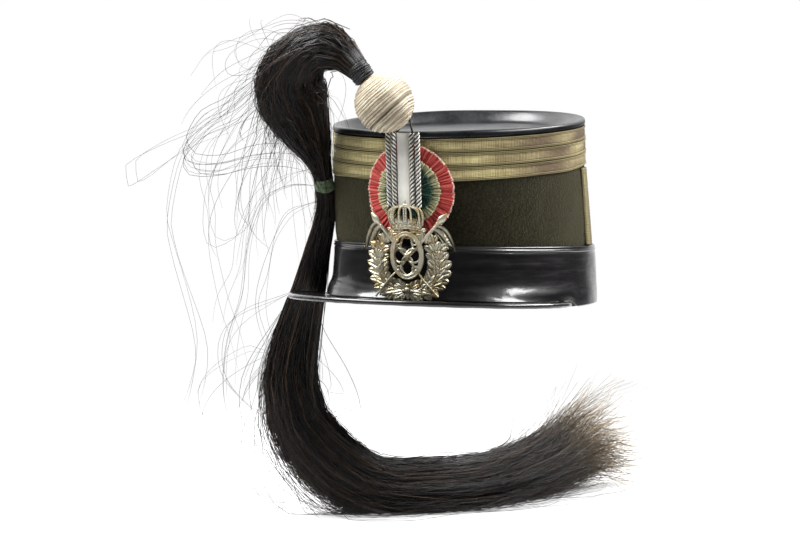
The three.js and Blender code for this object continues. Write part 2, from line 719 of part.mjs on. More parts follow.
addPiece("crown_body", clothCrown(), FINISHES.cloth);
addPiece("top_leather", leatherTop(), FINISHES.leather);
["lace_lower", "lace_middle", "lace_upper"].forEach((name, i) => addPiece(name, laceStrip(i), FINISHES.lace));
addPiece("leather_band", leatherBand(), FINISHES.leather);
addPiece("peak", peakPlate(), FINISHES.leather);
addPiece("peak_binding", peakBinding(), FINISHES.leather);
addPiece("side_braid_right", sideBraid(-1), FINISHES.lace);
addPiece("side_braid_left", sideBraid(1), FINISHES.lace);

for (const ring of COCKADE_RINGS)
  addPiece(ring.name, cockadeRing(ring), { color: ring.colour, roughness: 0.85, metalness: 0 });

addPiece("loop_ribbon", loopRibbon(), FINISHES.ribbon);
for (let i = 0; i < 4; i++) addPiece(`loop_cord_${i + 1}`, loopCord(i), FINISHES.cord);

addPiece("badge", castBadge(), FINISHES.metal);

stand(addPiece("pompon_ball", woundBall(), FINISHES.ball), BALL.centre, BALL_AXIS);
addPiece("pompon_wire", tube(WIRE, WIRE_RADIUS, 5, 22), FINISHES.wire);

addPiece("plume", plume(), FINISHES.hair);

const neckInner = NECK.hairRadius + GAP;
const neckBinding = collar(neckInner, neckInner + NECK.bindingWall, NECK.end - NECK.start);
const neckCentre = BALL.centre.clone().addScaledVector(BALL_AXIS, (NECK.start + NECK.end) / 2);
stand(addPiece("plume_binding", neckBinding, FINISHES.thread), neckCentre, BALL_AXIS);

const tieAxis = new THREE.Vector3(-1, 6, -10).normalize();
stand(
  addPiece("plume_tie", collar(TIE.inner, TIE.inner + TIE.wall, TIE.length), FINISHES.tie),
  new THREE.Vector3(TIE.x, TIE.y, TIE.z),
  tieAxis,
);

export default kepi;
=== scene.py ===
"""The looks of a kepi with a long falling plume. Lengths are in millimetres until a mesh is made."""

from math import atan2, cos, hypot, pi, radians, sin, tau

import bpy
import numpy as np
from mathutils import Matrix, Vector


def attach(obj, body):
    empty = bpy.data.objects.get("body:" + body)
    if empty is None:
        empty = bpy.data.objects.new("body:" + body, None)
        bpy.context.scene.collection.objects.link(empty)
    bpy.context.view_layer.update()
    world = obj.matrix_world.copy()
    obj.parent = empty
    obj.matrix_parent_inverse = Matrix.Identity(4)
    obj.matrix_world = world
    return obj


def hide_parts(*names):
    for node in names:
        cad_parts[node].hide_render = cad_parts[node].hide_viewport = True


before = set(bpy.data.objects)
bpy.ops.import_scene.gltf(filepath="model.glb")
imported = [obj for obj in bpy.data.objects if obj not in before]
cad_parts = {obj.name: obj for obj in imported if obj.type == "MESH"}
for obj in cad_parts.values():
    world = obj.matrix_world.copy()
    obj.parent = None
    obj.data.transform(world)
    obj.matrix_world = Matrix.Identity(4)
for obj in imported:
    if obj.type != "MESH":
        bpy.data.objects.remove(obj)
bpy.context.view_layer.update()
bpy.ops.object.select_all(action="DESELECT")

MM = 0.001


# The camera, the light and the floor.

# settings that many nodes share
COLOURS = {"data_type": "RGBA"}
SMOOTH = {"interpolation_type": "SMOOTHSTEP"}


def add_node(tree, kind, inputs=(), **settings):
    """Adds a shader node. An input is a value, a socket, or a node whose first output is linked."""
    node = tree.nodes.new("ShaderNode" + kind)
    for name, value in settings.items():
        setattr(node, name, value)
    for name, value in dict(inputs).items():
        if isinstance(value, bpy.types.Node):
            value = next(output for output in value.outputs if output.enabled)
        if isinstance(value, bpy.types.NodeSocket):
            tree.links.new(value, node.inputs[name])
        else:
            node.inputs[name].default_value = value
    return node


def colour(code):
    """Linear colour of an sRGB hex value."""
    parts = [int(code[i : i + 2], 16) / 255 for i in (1, 3, 5)]
    return (*[c / 12.92 if c <= 0.04045 else ((c + 0.055) / 1.055) ** 2.4 for c in parts], 1)


def add_camera():
    """The photograph's view, about 22 degrees to the wearer's right of the front and a little above."""
    data = bpy.data.cameras.new("camera")
    data.lens = 113.3
    data.sensor_width = 36
    data.clip_end = 50
    camera = bpy.data.objects.new("camera", data)
    right = Vector((0.92800, 0.37235, 0.01288))
    up = Vector((-0.03467, 0.05188, 0.99805))
    turned = Matrix((right, up, right.cross(up))).transposed().to_4x4()
    camera.matrix_world = Matrix.Translation((0.55557, -1.49978, 0.11798)) @ turned
    bpy.context.scene.collection.objects.link(camera)
    bpy.context.scene.camera = camera


def add_softbox(name, azimuth, elevation, distance, width, height, watts, aim=(0, 0, 0.02)):
    """A softbox. Its azimuth runs from the front towards the wearer's left."""
    data = bpy.data.lights.new(name, "AREA")
    data.shape = "RECTANGLE"
    data.size, data.size_y, data.energy = width, height, watts
    light = bpy.data.objects.new(name, data)
    turn, rise = radians(azimuth), radians(elevation)
    away = Vector((sin(turn) * cos(rise), -cos(turn) * cos(rise), sin(rise)))
    light.location = Vector(aim) + away * distance
    light.rotation_euler = away.to_track_quat("Z", "Y").to_euler()
    bpy.context.scene.collection.objects.link(light)


def add_world():
    """White paper behind the object, and a dim studio in front of it."""
    world = bpy.data.worlds.new("white studio")
    bpy.context.scene.world = world
    world.use_nodes = True
    tree = world.node_tree
    tree.nodes.clear()
    place = add_node(tree, "TexCoord").outputs["Generated"]
    facing = add_node(tree, "VectorMath", {0: place, 1: (-0.371, 0.928, 0)}, operation="DOT_PRODUCT")
    paper_side = facing.outputs["Value"]
    behind = add_node(tree, "MapRange", {0: paper_side, 1: 0.7, 2: 0.96, 3: 0.06, 4: 0.95}, **SMOOTH)
    fall = add_node(tree, "SeparateXYZ", {0: place}).outputs["Z"]
    table = add_node(tree, "MapRange", {0: fall, 1: -0.18, 2: -0.5, 3: 0.0, 4: 0.62}, **SMOOTH)
    both = add_node(tree, "Math", {0: behind, 1: table}, operation="MAXIMUM")
    studio = add_node(tree, "Background", {0: (1, 1, 1, 1), 1: both})
    paper = add_node(tree, "Background", {0: (1, 1, 1, 1), 1: 1.0})
    seen = add_node(tree, "LightPath").outputs["Is Camera Ray"]
    mix = add_node(tree, "MixShader", {0: seen, 1: studio, 2: paper})
    add_node(tree, "OutputWorld", {0: mix})


def add_floor():
    """Pale matt floor, burnt out almost to the white of the paper, on which only a faint shadow shows."""
    bpy.ops.mesh.primitive_circle_add(vertices=96, radius=2.4, fill_type="NGON", location=(0, 0, -141.6 * MM))
    floor = bpy.context.object
    floor.name = "floor"
    material = bpy.data.materials.new("pale floor paper")
    material.use_nodes = True
    tree = material.node_tree
    tree.nodes.clear()
    place = add_node(tree, "TexCoord").outputs["Object"]
    reach = add_node(tree, "VectorMath", {0: place}, operation="LENGTH").outputs["Value"]
    fade = add_node(tree, "MapRange", {0: reach, 1: 0.3, 2: 0.85, 3: 0.35, 4: 1.0}, **SMOOTH)
    matt = add_node(tree, "BsdfDiffuse", {0: (0.62, 0.62, 0.62, 1)})
    glow = add_node(tree, "Emission", {0: (1, 1, 1, 1), 1: 0.22})
    lit = add_node(tree, "AddShader", {0: matt, 1: glow})
    clear = add_node(tree, "BsdfTransparent")
    mix = add_node(tree, "MixShader", {0: fade, 1: lit, 2: clear})
    add_node(tree, "OutputMaterial", {0: mix})
    floor.data.materials.append(material)


# Numbers and meshes.


def wobble(points, size, seed):
    """Smooth unevenness, mostly between -1 and 1, whose lumps are about half of size across."""
    rng = np.random.default_rng(seed)
    total = np.zeros(points.shape[:-1])
    for _ in range(10):
        way = rng.normal(size=3)
        way *= tau / (np.linalg.norm(way) * size * rng.uniform(0.7, 1.5))
        total += np.sin(points @ way + rng.uniform(0, tau))
    return total / 3.4


def ease(x, low, high):
    """0 below low, 1 above high, and smooth between."""
    t = np.clip((np.asarray(x, float) - low) / (high - low), 0, 1)
    return t * t * (3 - 2 * t)


def bump_at(x, centre, width):
    """A smooth hump of height 1."""
    return np.exp(-(((x - centre) / width) ** 2))


def points_at(x, y, z):
    """Points from their coordinates, each a number or an array."""
    return np.stack(np.broadcast_arrays(x, y, z), -1)


def length_along(line):
    """Length along an open row of points, for patterns."""
    return np.concatenate([[0], np.cumsum(np.linalg.norm(np.diff(line, axis=0), axis=1))])


def running(section):
    """Length along a closed section, for patterns."""
    steps = np.linalg.norm(np.diff(section, axis=0, append=section[:1]), axis=1)
    return np.concatenate([[0], np.cumsum(steps)])


def smooth_path(rows, count=24):
    """Catmull-Rom curve through rows of numbers, the first three a place, and the length along it."""
    rows = np.asarray(rows, float)
    ends = np.concatenate([2 * rows[:1] - rows[1:2], rows, 2 * rows[-1:] - rows[-2:-1]])
    t = np.linspace(0, 1, count, endpoint=False)[:, None]
    parts = []
    for p0, p1, p2, p3 in zip(ends, ends[1:], ends[2:], ends[3:]):
        stretch = 2 * p1 + (p2 - p0) * t
        stretch = stretch + (2 * p0 - 5 * p1 + 4 * p2 - p3) * t**2
        stretch = stretch + (3 * p1 - p0 - 3 * p2 + p3) * t**3
        parts.append(0.5 * stretch)
    parts.append(rows[-1:])
    path = np.concatenate(parts)
    return path, length_along(path[:, :3])


def sample(path, length, at):
    """Rows of the path at lengths along it, for an array of any shape."""
    at = np.asarray(at)
    return np.stack([np.interp(at.ravel(), length, column) for column in path.T], -1).reshape(*at.shape, -1)


def frame_of(axis):
    """Two directions across an axis, square to each other."""
    side = np.cross(axis, [0, 0, 1.0])
    side /= np.linalg.norm(side)
    return side, np.cross(axis, side)


def bezier(p0, p1, p2, count):
    """Points of a curve that starts at p0 towards p1 and ends at p2."""
    t = np.linspace(0, 1, count)[:, None]
    return (1 - t) ** 2 * np.array(p0) + 2 * t * (1 - t) * np.array(p1) + t**2 * np.array(p2)


def mark(mesh, field, values):
    """Keeps a value at each point of the mesh, for its material."""
    attribute = mesh.attributes.new(field, "FLOAT", "POINT")
    attribute.data.foreach_set("value", np.asarray(values, np.float32).ravel())


def places_of(mesh):
    """The mesh's points, in its own units."""
    places = np.empty(len(mesh.vertices) * 3)
    mesh.vertices.foreach_get("co", places)
    return places.reshape(-1, 3)


def point_outwards(mesh):
    """Turns the faces over where the mesh's volume comes out negative."""
    mesh.calc_loop_triangles()
    corners = np.empty(len(mesh.loop_triangles) * 3, np.int32)
    mesh.loop_triangles.foreach_get("vertices", corners)
    a, b, c = places_of(mesh)[corners.reshape(-1, 3)].transpose(1, 0, 2)
    if (a * np.cross(b, c)).sum() < 0:
        mesh.flip_normals()


def build(name, points, faces, fields):
    """A smooth mesh object whose faces point outwards."""
    mesh = bpy.data.meshes.new(name)
    mesh.from_pydata((points * MM).tolist(), [], faces)
    for field, values in fields.items():
        mark(mesh, field, values)
    mesh.shade_smooth()
    obj = bpy.data.objects.new(name, mesh)
    bpy.context.scene.collection.objects.link(obj)
    point_outwards(mesh)
    return obj


def strands(name, paths, radii, sides=3, **fields):
    """Round tubes along many paths at once: paths is strands by steps by 3, and radii strands by steps."""
    count, steps = paths.shape[:2]
    along = np.gradient(paths, axis=1)
    along /= np.maximum(np.linalg.norm(along, axis=2, keepdims=True), 1e-9)
    side = np.cross(along[:, 0], [0.36, 0.41, 0.84])
    normals = np.empty_like(paths)
    for k in range(steps):
        side = side - (side * along[:, k]).sum(1, keepdims=True) * along[:, k]
        side /= np.maximum(np.linalg.norm(side, axis=1, keepdims=True), 1e-9)
        normals[:, k] = side
    other = np.cross(along, normals)
    turn = tau * np.arange(sides) / sides
    ring = normals[:, :, None] * np.cos(turn)[:, None] + other[:, :, None] * np.sin(turn)[:, None]
    points = paths[:, :, None] + ring * radii[:, :, None, None]
    s, k, j = np.meshgrid(np.arange(count), np.arange(steps - 1), np.arange(sides), indexing="ij")
    first = (s * steps + k) * sides
    after = (j + 1) % sides
    quads = np.stack([first + j, first + sides + j, first + sides + after, first + after], -1)
    tops = (np.arange(count)[:, None] * steps + steps - 1) * sides + np.arange(sides)
    feet = np.arange(count)[:, None] * steps * sides + np.arange(sides)
    faces = quads.reshape(-1, 4).tolist() + tops[:, ::-1].tolist() + feet.tolist()
    for field, values in fields.items():
        fields[field] = np.repeat(np.broadcast_to(values, (count, steps)), sides)
    return build(name, points.reshape(-1, 3), faces, fields)


def close_up(obj, fill=True):
    """Merges the points that lie on each other, fills open ends and turns the faces outwards."""
    bpy.ops.object.select_all(action="DESELECT")
    bpy.context.view_layer.objects.active = obj
    obj.select_set(True)
    bpy.ops.object.mode_set(mode="EDIT")
    bpy.ops.mesh.select_all(action="SELECT")
    bpy.ops.mesh.remove_doubles(threshold=1e-6)
    if fill:
        bpy.ops.mesh.fill_holes(sides=0)
        bpy.ops.mesh.select_all(action="SELECT")
    bpy.ops.mesh.normals_make_consistent(inside=False)
    bpy.ops.object.mode_set(mode="OBJECT")
    obj.data.shade_smooth()
    obj.select_set(False)
    return obj


def lattice(name, points, across=None, along=None, loops=(True, True), filled=True, **fields):
    """A grid over rows of points, closed round its rows, its columns or both, with open ends filled or not.

    across and along place its rows and columns on the unrolled piece, in millimetres, with one value more
    where the grid is closed."""

    def closed(values):
        for axis in (0, 1):
            if loops[axis]:
                values = np.concatenate([values, values.take([0], axis)], axis)
        return values

    shape = points.shape[:2]
    points = closed(points)
    rows, cols = points.shape[:2]
    bpy.ops.mesh.primitive_grid_add(x_subdivisions=cols - 1, y_subdivisions=rows - 1, size=1)
    obj = bpy.context.object
    obj.name = obj.data.name = name
    mesh = obj.data
    mesh.vertices.foreach_set("co", (points * MM).ravel())
    if across is not None:
        spot = np.empty(len(mesh.loops), np.int32)
        mesh.loops.foreach_get("vertex_index", spot)
        layer = mesh.uv_layers[0]
        layer.name = "unrolled"
        unrolled = np.stack([across[spot // cols], along[spot % cols]], -1)
        layer.data.foreach_set("uv", unrolled.astype(np.float32).ravel())
    for field, values in fields.items():
        mark(mesh, field, closed(np.broadcast_to(values, shape)))
    return close_up(obj, filled and loops != (False, False))


def curved_rod(name, points, radius, closed=False, sides=3, taper=None):
    """A round rod along points: a curve with a bevel, made a mesh."""
    data = bpy.data.curves.new(name, "CURVE")
    data.dimensions = "3D"
    data.bevel_depth = radius
    data.bevel_resolution = sides
    data.use_fill_caps = True
    spline = data.splines.new("POLY")
    spline.points.add(len(points) - 1)
    for i, p in enumerate(points):
        spline.points[i].co = (*p, 1)
        if taper is not None:
            spline.points[i].radius = taper[i]
    spline.use_cyclic_u = closed
    spline.use_smooth = True
    rod = bpy.data.objects.new(name, data)
    bpy.context.scene.collection.objects.link(rod)
    bpy.ops.object.select_all(action="DESELECT")
    rod.select_set(True)
    bpy.context.view_layer.objects.active = rod
    bpy.ops.object.convert(target="MESH")
    rod = bpy.context.view_layer.objects.active
    rod.data.shade_smooth()
    rod.select_set(False)
    return rod


def apply_modifiers(obj):
    """Makes the object's modifiers part of its mesh."""
    bpy.context.view_layer.objects.active = obj
    for modifier in list(obj.modifiers):
        bpy.ops.object.modifier_apply(modifier=modifier.name)
    return obj


def thicken(obj, wall, rounding=0.0):
    """Gives a sheet its thickness, inwards from its face, and rounds its edges."""
    solid = obj.modifiers.new("wall", "SOLIDIFY")
    solid.thickness = wall * MM
    solid.offset = -1
    solid.use_even_offset = True
    if rounding:
        bevel = obj.modifiers.new("edges", "BEVEL")
        bevel.width = rounding * MM
        bevel.segments = 2
        bevel.limit_method = "ANGLE"
        bevel.angle_limit = radians(50)
    apply_modifiers(obj)
    return obj


def settle(obj):
    """Moves the object's place and turn into its mesh."""
    obj.data.transform(obj.matrix_basis)
    obj.matrix_basis = Matrix.Identity(4)
    return obj


def join(objects, name):
    """Makes several objects one."""
    bpy.ops.object.select_all(action="DESELECT")
    for obj in objects:
        obj.select_set(True)
    bpy.context.view_layer.objects.active = objects[0]
    if len(objects) > 1:
        bpy.ops.object.join()
    joined = bpy.context.view_layer.objects.active
    joined.name = joined.data.name = name
    joined.select_set(False)
    return joined


def dress(obj, material, slot, *nodes):
    """Gives a piece its material, hangs it from the root body, and hides the CAD nodes that it stands for."""
    obj.data.materials.clear()
    obj.data.materials.append(material)
    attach(obj, "root")
    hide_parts(*nodes)
    return obj


# The crown.

RINGS = np.array(
    [
        # half length, half width, centre's y, front height, rear height, brow
        [100, 82, 0, 0, 0, 3.4],
        [97.9, 80.3, -1, 39.2, 34.7, 0],
        [94.3, 77.9, -12.4, 77.4, 92.6, 0],
        [93.5, 77.2, -14, 103.3, 117.2, 0],
        [93.3, 77, -14.2, 107.1, 121, 0],
    ]
)
BAND_LEVEL, LACE_LEVEL, SKIRT_LEVEL = 1, 2, 3
TURNS = 216
ROUND = np.linspace(-pi, pi, TURNS, endpoint=False)
GIRTH = np.linspace(-276, 276, TURNS + 1)  # millimetres round the crown, for patterns
TRIM_WALL = 1.5
CLOTH_FACE, CLOTH_WALL, CLOTH_TOP = 1.8, 2.5, 3.03


def wall(angle, inset, level):
    """Points of the crown's side. The angle runs from the front towards the wearer's left."""
    ring = [np.interp(level, range(5), column) for column in RINGS.T]
    ahead = np.cos(angle)
    height = ring[4] + (ring[3] - ring[4]) * (1 + ahead) / 2 + ring[5] * np.maximum(ahead, 0) ** 2
    return points_at((ring[1] - inset) * np.sin(angle), ring[2] - (ring[0] - inset) * ahead, height)


def make_cloth():
    """The crown's wall: cloth drawn over a stiff shape, a little fuller between the band and the lace."""
    behind_band = np.linspace(0, 1, 6, endpoint=False)
    in_view = np.linspace(1, 2, 44)
    behind_lace = np.linspace(2, CLOTH_TOP, 8)[1:]
    level = np.concatenate([behind_band, in_view, behind_lace])
    full = np.sin(pi * np.clip(level - 1, 0, 1)) ** 0.6
    back = np.linspace(CLOTH_TOP, 0, 14)
    angle = ROUND[:, None]
    rest = wall(angle, CLOTH_FACE, level)
    uneven = 0.30 * wobble(rest, 55, 3) + 0.16 * wobble(rest, 14, 4) + 0.07 * wobble(rest, 5, 5)
    outside = wall(angle, CLOTH_FACE - 0.75 * full - uneven * full, level)
    inside = wall(angle, CLOTH_FACE + CLOTH_WALL + 0 * angle, back)
    points = np.concatenate([outside, inside], 1)
    return lattice("crown_cloth", points, GIRTH, running(points[0]))


def make_band():
    """Patent leather band: a turned top edge, a ridge under it, and a foot that rolls out over the peak."""
    foot = np.linspace(0, 0.3, 17, endpoint=False)
    middle = np.linspace(0.3, 0.84, 11, endpoint=False)
    share = np.concatenate([foot, middle, np.linspace(0.84, 1, 18)])
    angle = ROUND[:, None]
    off = np.abs(angle)
    lifted = 0.096 * (1 - ease(off, radians(74), radians(80)))
    level = lifted + (1 - lifted) * share
    flare = 8.5 * np.maximum(0, 1 - (off / radians(73)) ** 4) * (1 - level) ** 6
    rest = wall(angle, -flare, level)
    ridge = 0.34 * bump_at(share, 0.925, 0.016) - 0.28 * bump_at(share, 0.893, 0.018)
    ridge = ridge - 0.16 * bump_at(share, 0.955, 0.01)
    edge = -0.5 * ease(share, 0.985, 1)
    roll = 1.5 * bump_at(share, 0.14, 0.13) * (0.1 + 0.9 * bump_at(off, 1.12, 0.44))
    fan = np.sin(46 * share + 5 * np.sin(2.3 * angle) + 9 * angle)
    creases = 0.14 * fan * bump_at(share, 0.2, 0.14) * bump_at(angle, -0.75, 0.3)
    uneven = (0.34 * wobble(rest, 48, 11) + 0.11 * wobble(rest, 19, 12)) * np.sin(pi * share)
    points = wall(angle, -flare - ridge - edge - roll - creases - uneven, level)
    sleeve = lattice("band_leather", points, GIRTH, length_along(points[0]), (True, False), False)
    return thicken(sleeve, TRIM_WALL)


def make_lace(index):
    """A strip of woven lace: a pair of raised cords along each edge, and a lower field between them."""
    pitch = (SKIRT_LEVEL - LACE_LEVEL - 0.015) / 3
    low = LACE_LEVEL + index * pitch
    high = low + pitch - 0.012
    share = np.linspace(0, 1, 36)
    from_edge = np.minimum(share, 1 - share)
    cords = bump_at(from_edge, 0.05, 0.032) + 0.85 * bump_at(from_edge, 0.15, 0.032)
    grooves = bump_at(from_edge, 0.1, 0.018) + 0.9 * bump_at(from_edge, 0.205, 0.02)
    grooves = grooves + bump_at(from_edge, 0, 0.02)
    inset = 0.72 - 0.66 * cords + 0.2 * grooves - 0.14 * bump_at(share, 0.5, 0.25)
    angle = ROUND[:, None]
    rest = wall(angle, 0, low + (high - low) * share)
    inset = inset - 0.12 * wobble(rest, 40, 20 + index) - 0.06 * wobble(rest, 7, 30 + index)
    slack = 0.014 * wobble(rest, 60, 24) * (0.3 if index else 1)
    outside = wall(angle, np.maximum(inset, 0.02), low + (high - low) * share + slack * (1 - share))
    inside = wall(angle, TRIM_WALL + 0 * angle, np.linspace(high, low, 6))
    points = np.concatenate([outside, inside], 1)
    brown_side = ease(angle, 0.2, 1.25) * (1 - ease(angle, 2.0, 3.0))
    wear_and_shade = (0.7 + 0.15 * index) * brown_side - 0.1 + 0.3 * wobble(points, 45, 26 + index)
    # the first two fields lead the material to a painted highlight on the raised cords and painted shade in
    # the grooves; the last is brown tarnish, more towards the wearer's left
    fields = {
        "edge": np.concatenate([cords, np.zeros(6)]),
        "groove": np.concatenate([grooves, np.zeros(6)]),
        "wear_and_shade": np.clip(wear_and_shade, 0, 1),
    }
    return lattice(f"lace_strip_{index + 1}", points, GIRTH, running(points[0]), **fields)


def make_top():
    """Lacquered leather top: a rounded rim and a sunken floor that has sagged a little."""
    section = np.array(
        [
            # inset from the rim's outer surface, drop below the rim's plane
            [100, 7.6], [80, 7.6], [60, 7.6], [42, 7.6], [28, 7.6], [20, 7.6], [15, 7.6], [12.6, 7.5],
            [11.2, 7.0], [10, 6.0], [8.6, 4.4], [7.2, 2.9], [5.8, 1.55], [4.5, 0.6], [3.4, 0.14], [2.4, 0],
            [1.5, 0.05], [0.8, 0.32], [0.3, 0.85], [0.05, 1.6], [0, 2.5], [0, 3.1], [0.25, 3.5],
            [TRIM_WALL, 3.5], [TRIM_WALL, 2.9], [4.6, 2.9], [8.4, 6.5], [12.1, 9.8], [40, 9.8], [100, 9.8],
        ]
    )
    inset, drop = section.T
    half_length, half_width, middle, front, rear, _ = RINGS[4]
    angle = ROUND[:, None]

    def half(size):
        return np.where(inset <= 12, size - inset, (size - 12) * (100 - inset) / 88)

    ahead = half(half_length) * np.cos(angle)
    slope = (front - rear) / (2 * half_length)
    height = (front + rear) / 2 + slope * ahead - drop
    points = points_at(half(half_width) * np.sin(angle), middle - ahead, height)
    floor = ease(inset, 8, 20) * (drop < 8.5)
    rim = (inset < 9) & (drop < 3.3)
    sag = 0.35 * wobble(points, 60, 41) + 0.15 * wobble(points, 22, 42) + 1.1 * ease(inset, 12, 70)
    sag = np.where(inset >= 99.9, sag[:, :1].mean(), sag)
    points[..., 2] += sag * floor + 0.22 * wobble(points, 70, 43) * rim
    worn_rim = ease(drop, 0.25, 1.2) * (inset < 2.6)
    return lattice("top_lacquered", points, GIRTH, running(points[0])[:-1], (True, False), rim=worn_rim)


# The peak.

PEAK_REACH, PEAK_END, PEAK_THICK, PEAK_RISE, EDGE_RADIUS = 38, radians(73), 2.2, 1.9, 1.65


def peak_share(angle):
    """How far the peak reaches out at an angle, as a share of its reach in the middle."""
    return np.maximum(0, 1 - (np.abs(angle) / PEAK_END) ** 4)


def peak_point(angle, edge_inset, share, high):
    """Point of the peak: share 0 is its root in the crown and 1 its bound edge."""
    slope = PEAK_REACH * 4 * (np.abs(angle) / PEAK_END) ** 3 / PEAK_END / RINGS[0][0]
    outline = PEAK_REACH * peak_share(angle) - edge_inset * np.hypot(1, slope)
    rise = PEAK_RISE * np.sqrt(peak_share(angle)) + (2 * EDGE_RADIUS - PEAK_THICK) / 2
    point = wall(angle, TRIM_WALL + (-outline - TRIM_WALL) * share, 0)
    point[..., 2] += rise * share + high
    return point


def make_peak():
    """The peak's leather: a thin crescent, slightly buckled by wear."""
    angle = np.linspace(-radians(70.5), radians(70.5), 161)[:, None]
    share = np.linspace(0, 1, 20)
    points = peak_point(angle, 2 * EDGE_RADIUS + 0.3, share, PEAK_THICK)
    points[..., 2] += 0.28 * wobble(points, 34, 51) * np.sin(pi * share) ** 0.5
    long_way = np.linspace(-160, 160, 161)
    ahead = length_along(points[len(points) // 2])
    peak = lattice("peak_leather", points, long_way, ahead, (False, False))
    upper = peak.data.polygons[800]  # well inside the sheet
    if upper.normal.z < 0:
        peak.data.flip_normals()
    return thicken(peak, PEAK_THICK, 0.25)


def make_peak_edge():
    """Leather binding turned over the peak's edge."""
    steps = 150
    angle = np.linspace(-radians(69.5), radians(69.5), steps)
    path = peak_point(angle, EDGE_RADIUS, 1, PEAK_THICK / 2)
    wear = 1 + 0.05 * wobble(path, 12, 55)
    ends = ease(np.arange(steps), -1, 4) * (1 - ease(np.arange(steps), steps - 5, steps))
    taper = wear * (0.55 + 0.45 * ends)
    return curved_rod("peak_edge_leather", path * MM, EDGE_RADIUS * MM, sides=4, taper=taper)


# The braids, the cockade and the loop.


def make_side_braid(side, name):
    """Flat gilt braid down the crown's side, domed and plaited, evenly tarnished, with painted light: lighter
    towards its front edge, darker towards its rear edge and dark in the plait's hollows as painted shade.
    """
    across = np.linspace(-1, 1, 15)
    level = np.linspace(BAND_LEVEL + 0.015, LACE_LEVEL - 0.015, 90)
    foot, top = radians(95), radians(99.5)
    middle = foot + (top - foot) * (level - BAND_LEVEL)
    angle = side * (middle + across[:, None] * 4.5 / 80.3)
    plait = 0.2 * np.sin(tau * (level * 26 + 1.3 * np.abs(across[:, None]))) * (1 - across[:, None] ** 4)
    dome = 1.0 * (1 - across[:, None] ** 2) ** 0.7 + 0.1
    outer = wall(angle, -(dome + plait), level)
    inner = wall(angle, TRIM_WALL, level)
    points = np.concatenate([outer, inner[::-1]], 0).transpose(1, 0, 2)
    both = np.concatenate([across, across[::-1]])
    hollow = np.clip(-plait.T / 0.3, 0, 1)
    # painted light: the first field paints the braid's front half lighter, the last its rear half darker over
    # an even tarnish, and the middle one its plait's hollows dark as painted shade
    fields = {
        "edge": 0.3 - 0.3 * both,
        "groove": np.concatenate([hollow, hollow[:, ::-1]], 1),
        "wear_and_shade": 0.62 + 0.35 * both,
    }
    return lattice(name, points, level * 50, np.linspace(0, 18, 31), (False, True), **fields)


FRONT_BEND = 70  # radius of the bend of the cockade, the loop and the badge
FACES = {
    # back faces of the ornaments: top height, top y, foot height, foot y
    "cockade": (98.8, -108.4, 42.4, -104.7),
    "loop": (104.5, -110.9, 61, -109.9),
    "badge": (67.7, -111.9, 7.2, -104.6),
}


def front(face, across, up, out):
    """Point on a front ornament: across and up its face, and out from its back."""
    top, top_y, foot, foot_y = FACES[face]
    lean = (up - foot) / (top - foot)
    turn = across / FRONT_BEND
    y = foot_y + (top_y - foot_y) * lean + FRONT_BEND - (FRONT_BEND + out) * np.cos(turn)
    return points_at((FRONT_BEND + out) * np.sin(turn), y, up)


COCKADE_X, COCKADE_Z, COCKADE_NARROWING = 3.0, 71.4, 0.97
PLEATS = 88
COCKADE_RIBBONS = [
    # name, inner and outer radius, how far the inner and outer edge stand out, pleat depth, raggedness
    ("green", 0.4, 14.4, 2.3, 2.7, 0.9, 2.2),
    ("white", 8.0, 19.7, 1.5, 2.1, 0.7, 1.3),
    ("red", 16.0, 28.2, 0.7, 1.3, 0.6, 0.5),
]


def make_cockade(name, inner, outer, inner_out, outer_out, depth, ragged):
    """A ribbon gathered into a ring of fine uneven pleats, rumpled with age."""
    seed = int(outer)
    rng = np.random.default_rng(seed)
    count = PLEATS * 6
    turn = np.linspace(0, tau, count, endpoint=False)[:, None]
    share = np.linspace(0, 1, 13)
    slip = 0.5 * np.sin(5 * turn + seed) + 0.4 * np.sin(11 * turn + 2 * seed)
    slip = slip + 0.25 * np.sin(23 * turn + share * 2)
    fold = np.abs((turn * PLEATS / tau + slip) % 1 * 2 - 1)
    uneven = rng.normal(0, 0.5, PLEATS)[np.arange(count) // 6][:, None]
    ripples = zip((17, 29, 38, 53, 61, 77, 94), rng.uniform(0, tau, 7))
    streak = sum(np.sin(rate * turn + begin + 2.2 * share * np.sin(begin)) for rate, begin in ripples) / 3
    edge = ragged * (0.5 * (fold - 0.5) + 0.35 * uneven + 0.22 * streak) * share**4
    radius = inner + (outer - inner) * share + edge
    rumple = 0.35 * np.sin(3 * turn + seed) + 0.3 * np.sin(8 * turn + seed + 3 * share)
    rumple = rumple + 0.25 * np.sin(13 * turn - 4 * share)
    pleats = depth * (fold - 0.5) * (0.35 + 0.65 * share) + 0.22 * streak
    rise = np.maximum(inner_out + (outer_out - inner_out) * share + pleats + 0.6 * rumple * share, 0.2)
    across = COCKADE_X + COCKADE_NARROWING * radius * np.sin(turn)
    up = COCKADE_Z + radius * np.cos(turn)
    outside = front("cockade", across, up, rise + 0.15)
    inside = front("cockade", across, up, rise - 0.15)
    points = np.concatenate([outside, inside[:, ::-1]], 1)
    both = np.concatenate([share, share[::-1]])
    fields = {
        "reach": both,
        "fold": np.concatenate([fold, fold[:, ::-1]], 1),
        "streak": np.concatenate([streak, streak[:, ::-1]], 1) / 2 + 0.5,
    }
    width = outer - inner
    spans = np.concatenate([share * width, width + 0.3 + share * width, [2 * width + 0.6]])
    long_way = np.linspace(0, PLEATS * 3, count + 1)
    ring = lattice(f"cockade_ribbon_{name}", points, long_way, spans, **fields)
    return ring


LOOP_FOOT, LOOP_TOP = 61.5, 106.3
LOOP_RIBBON_HALF = 3.7
CORD_PLACES = (5.6, 9.1)  # the inner and outer cord's place beside the loop's middle
CORD_LAY, CORD_OUT, CORD_STEPS = 7.2, 1.7, 170
STRAND_RADIUS, STRAND_OFF = 0.76, 0.9


def loop_middle(up):
    """How far to the side the loop's middle line is, as it leans."""
    foot, top = 1.9, 0.4
    return foot + (top - foot) * (up - LOOP_FOOT) / (105.5 - LOOP_FOOT)


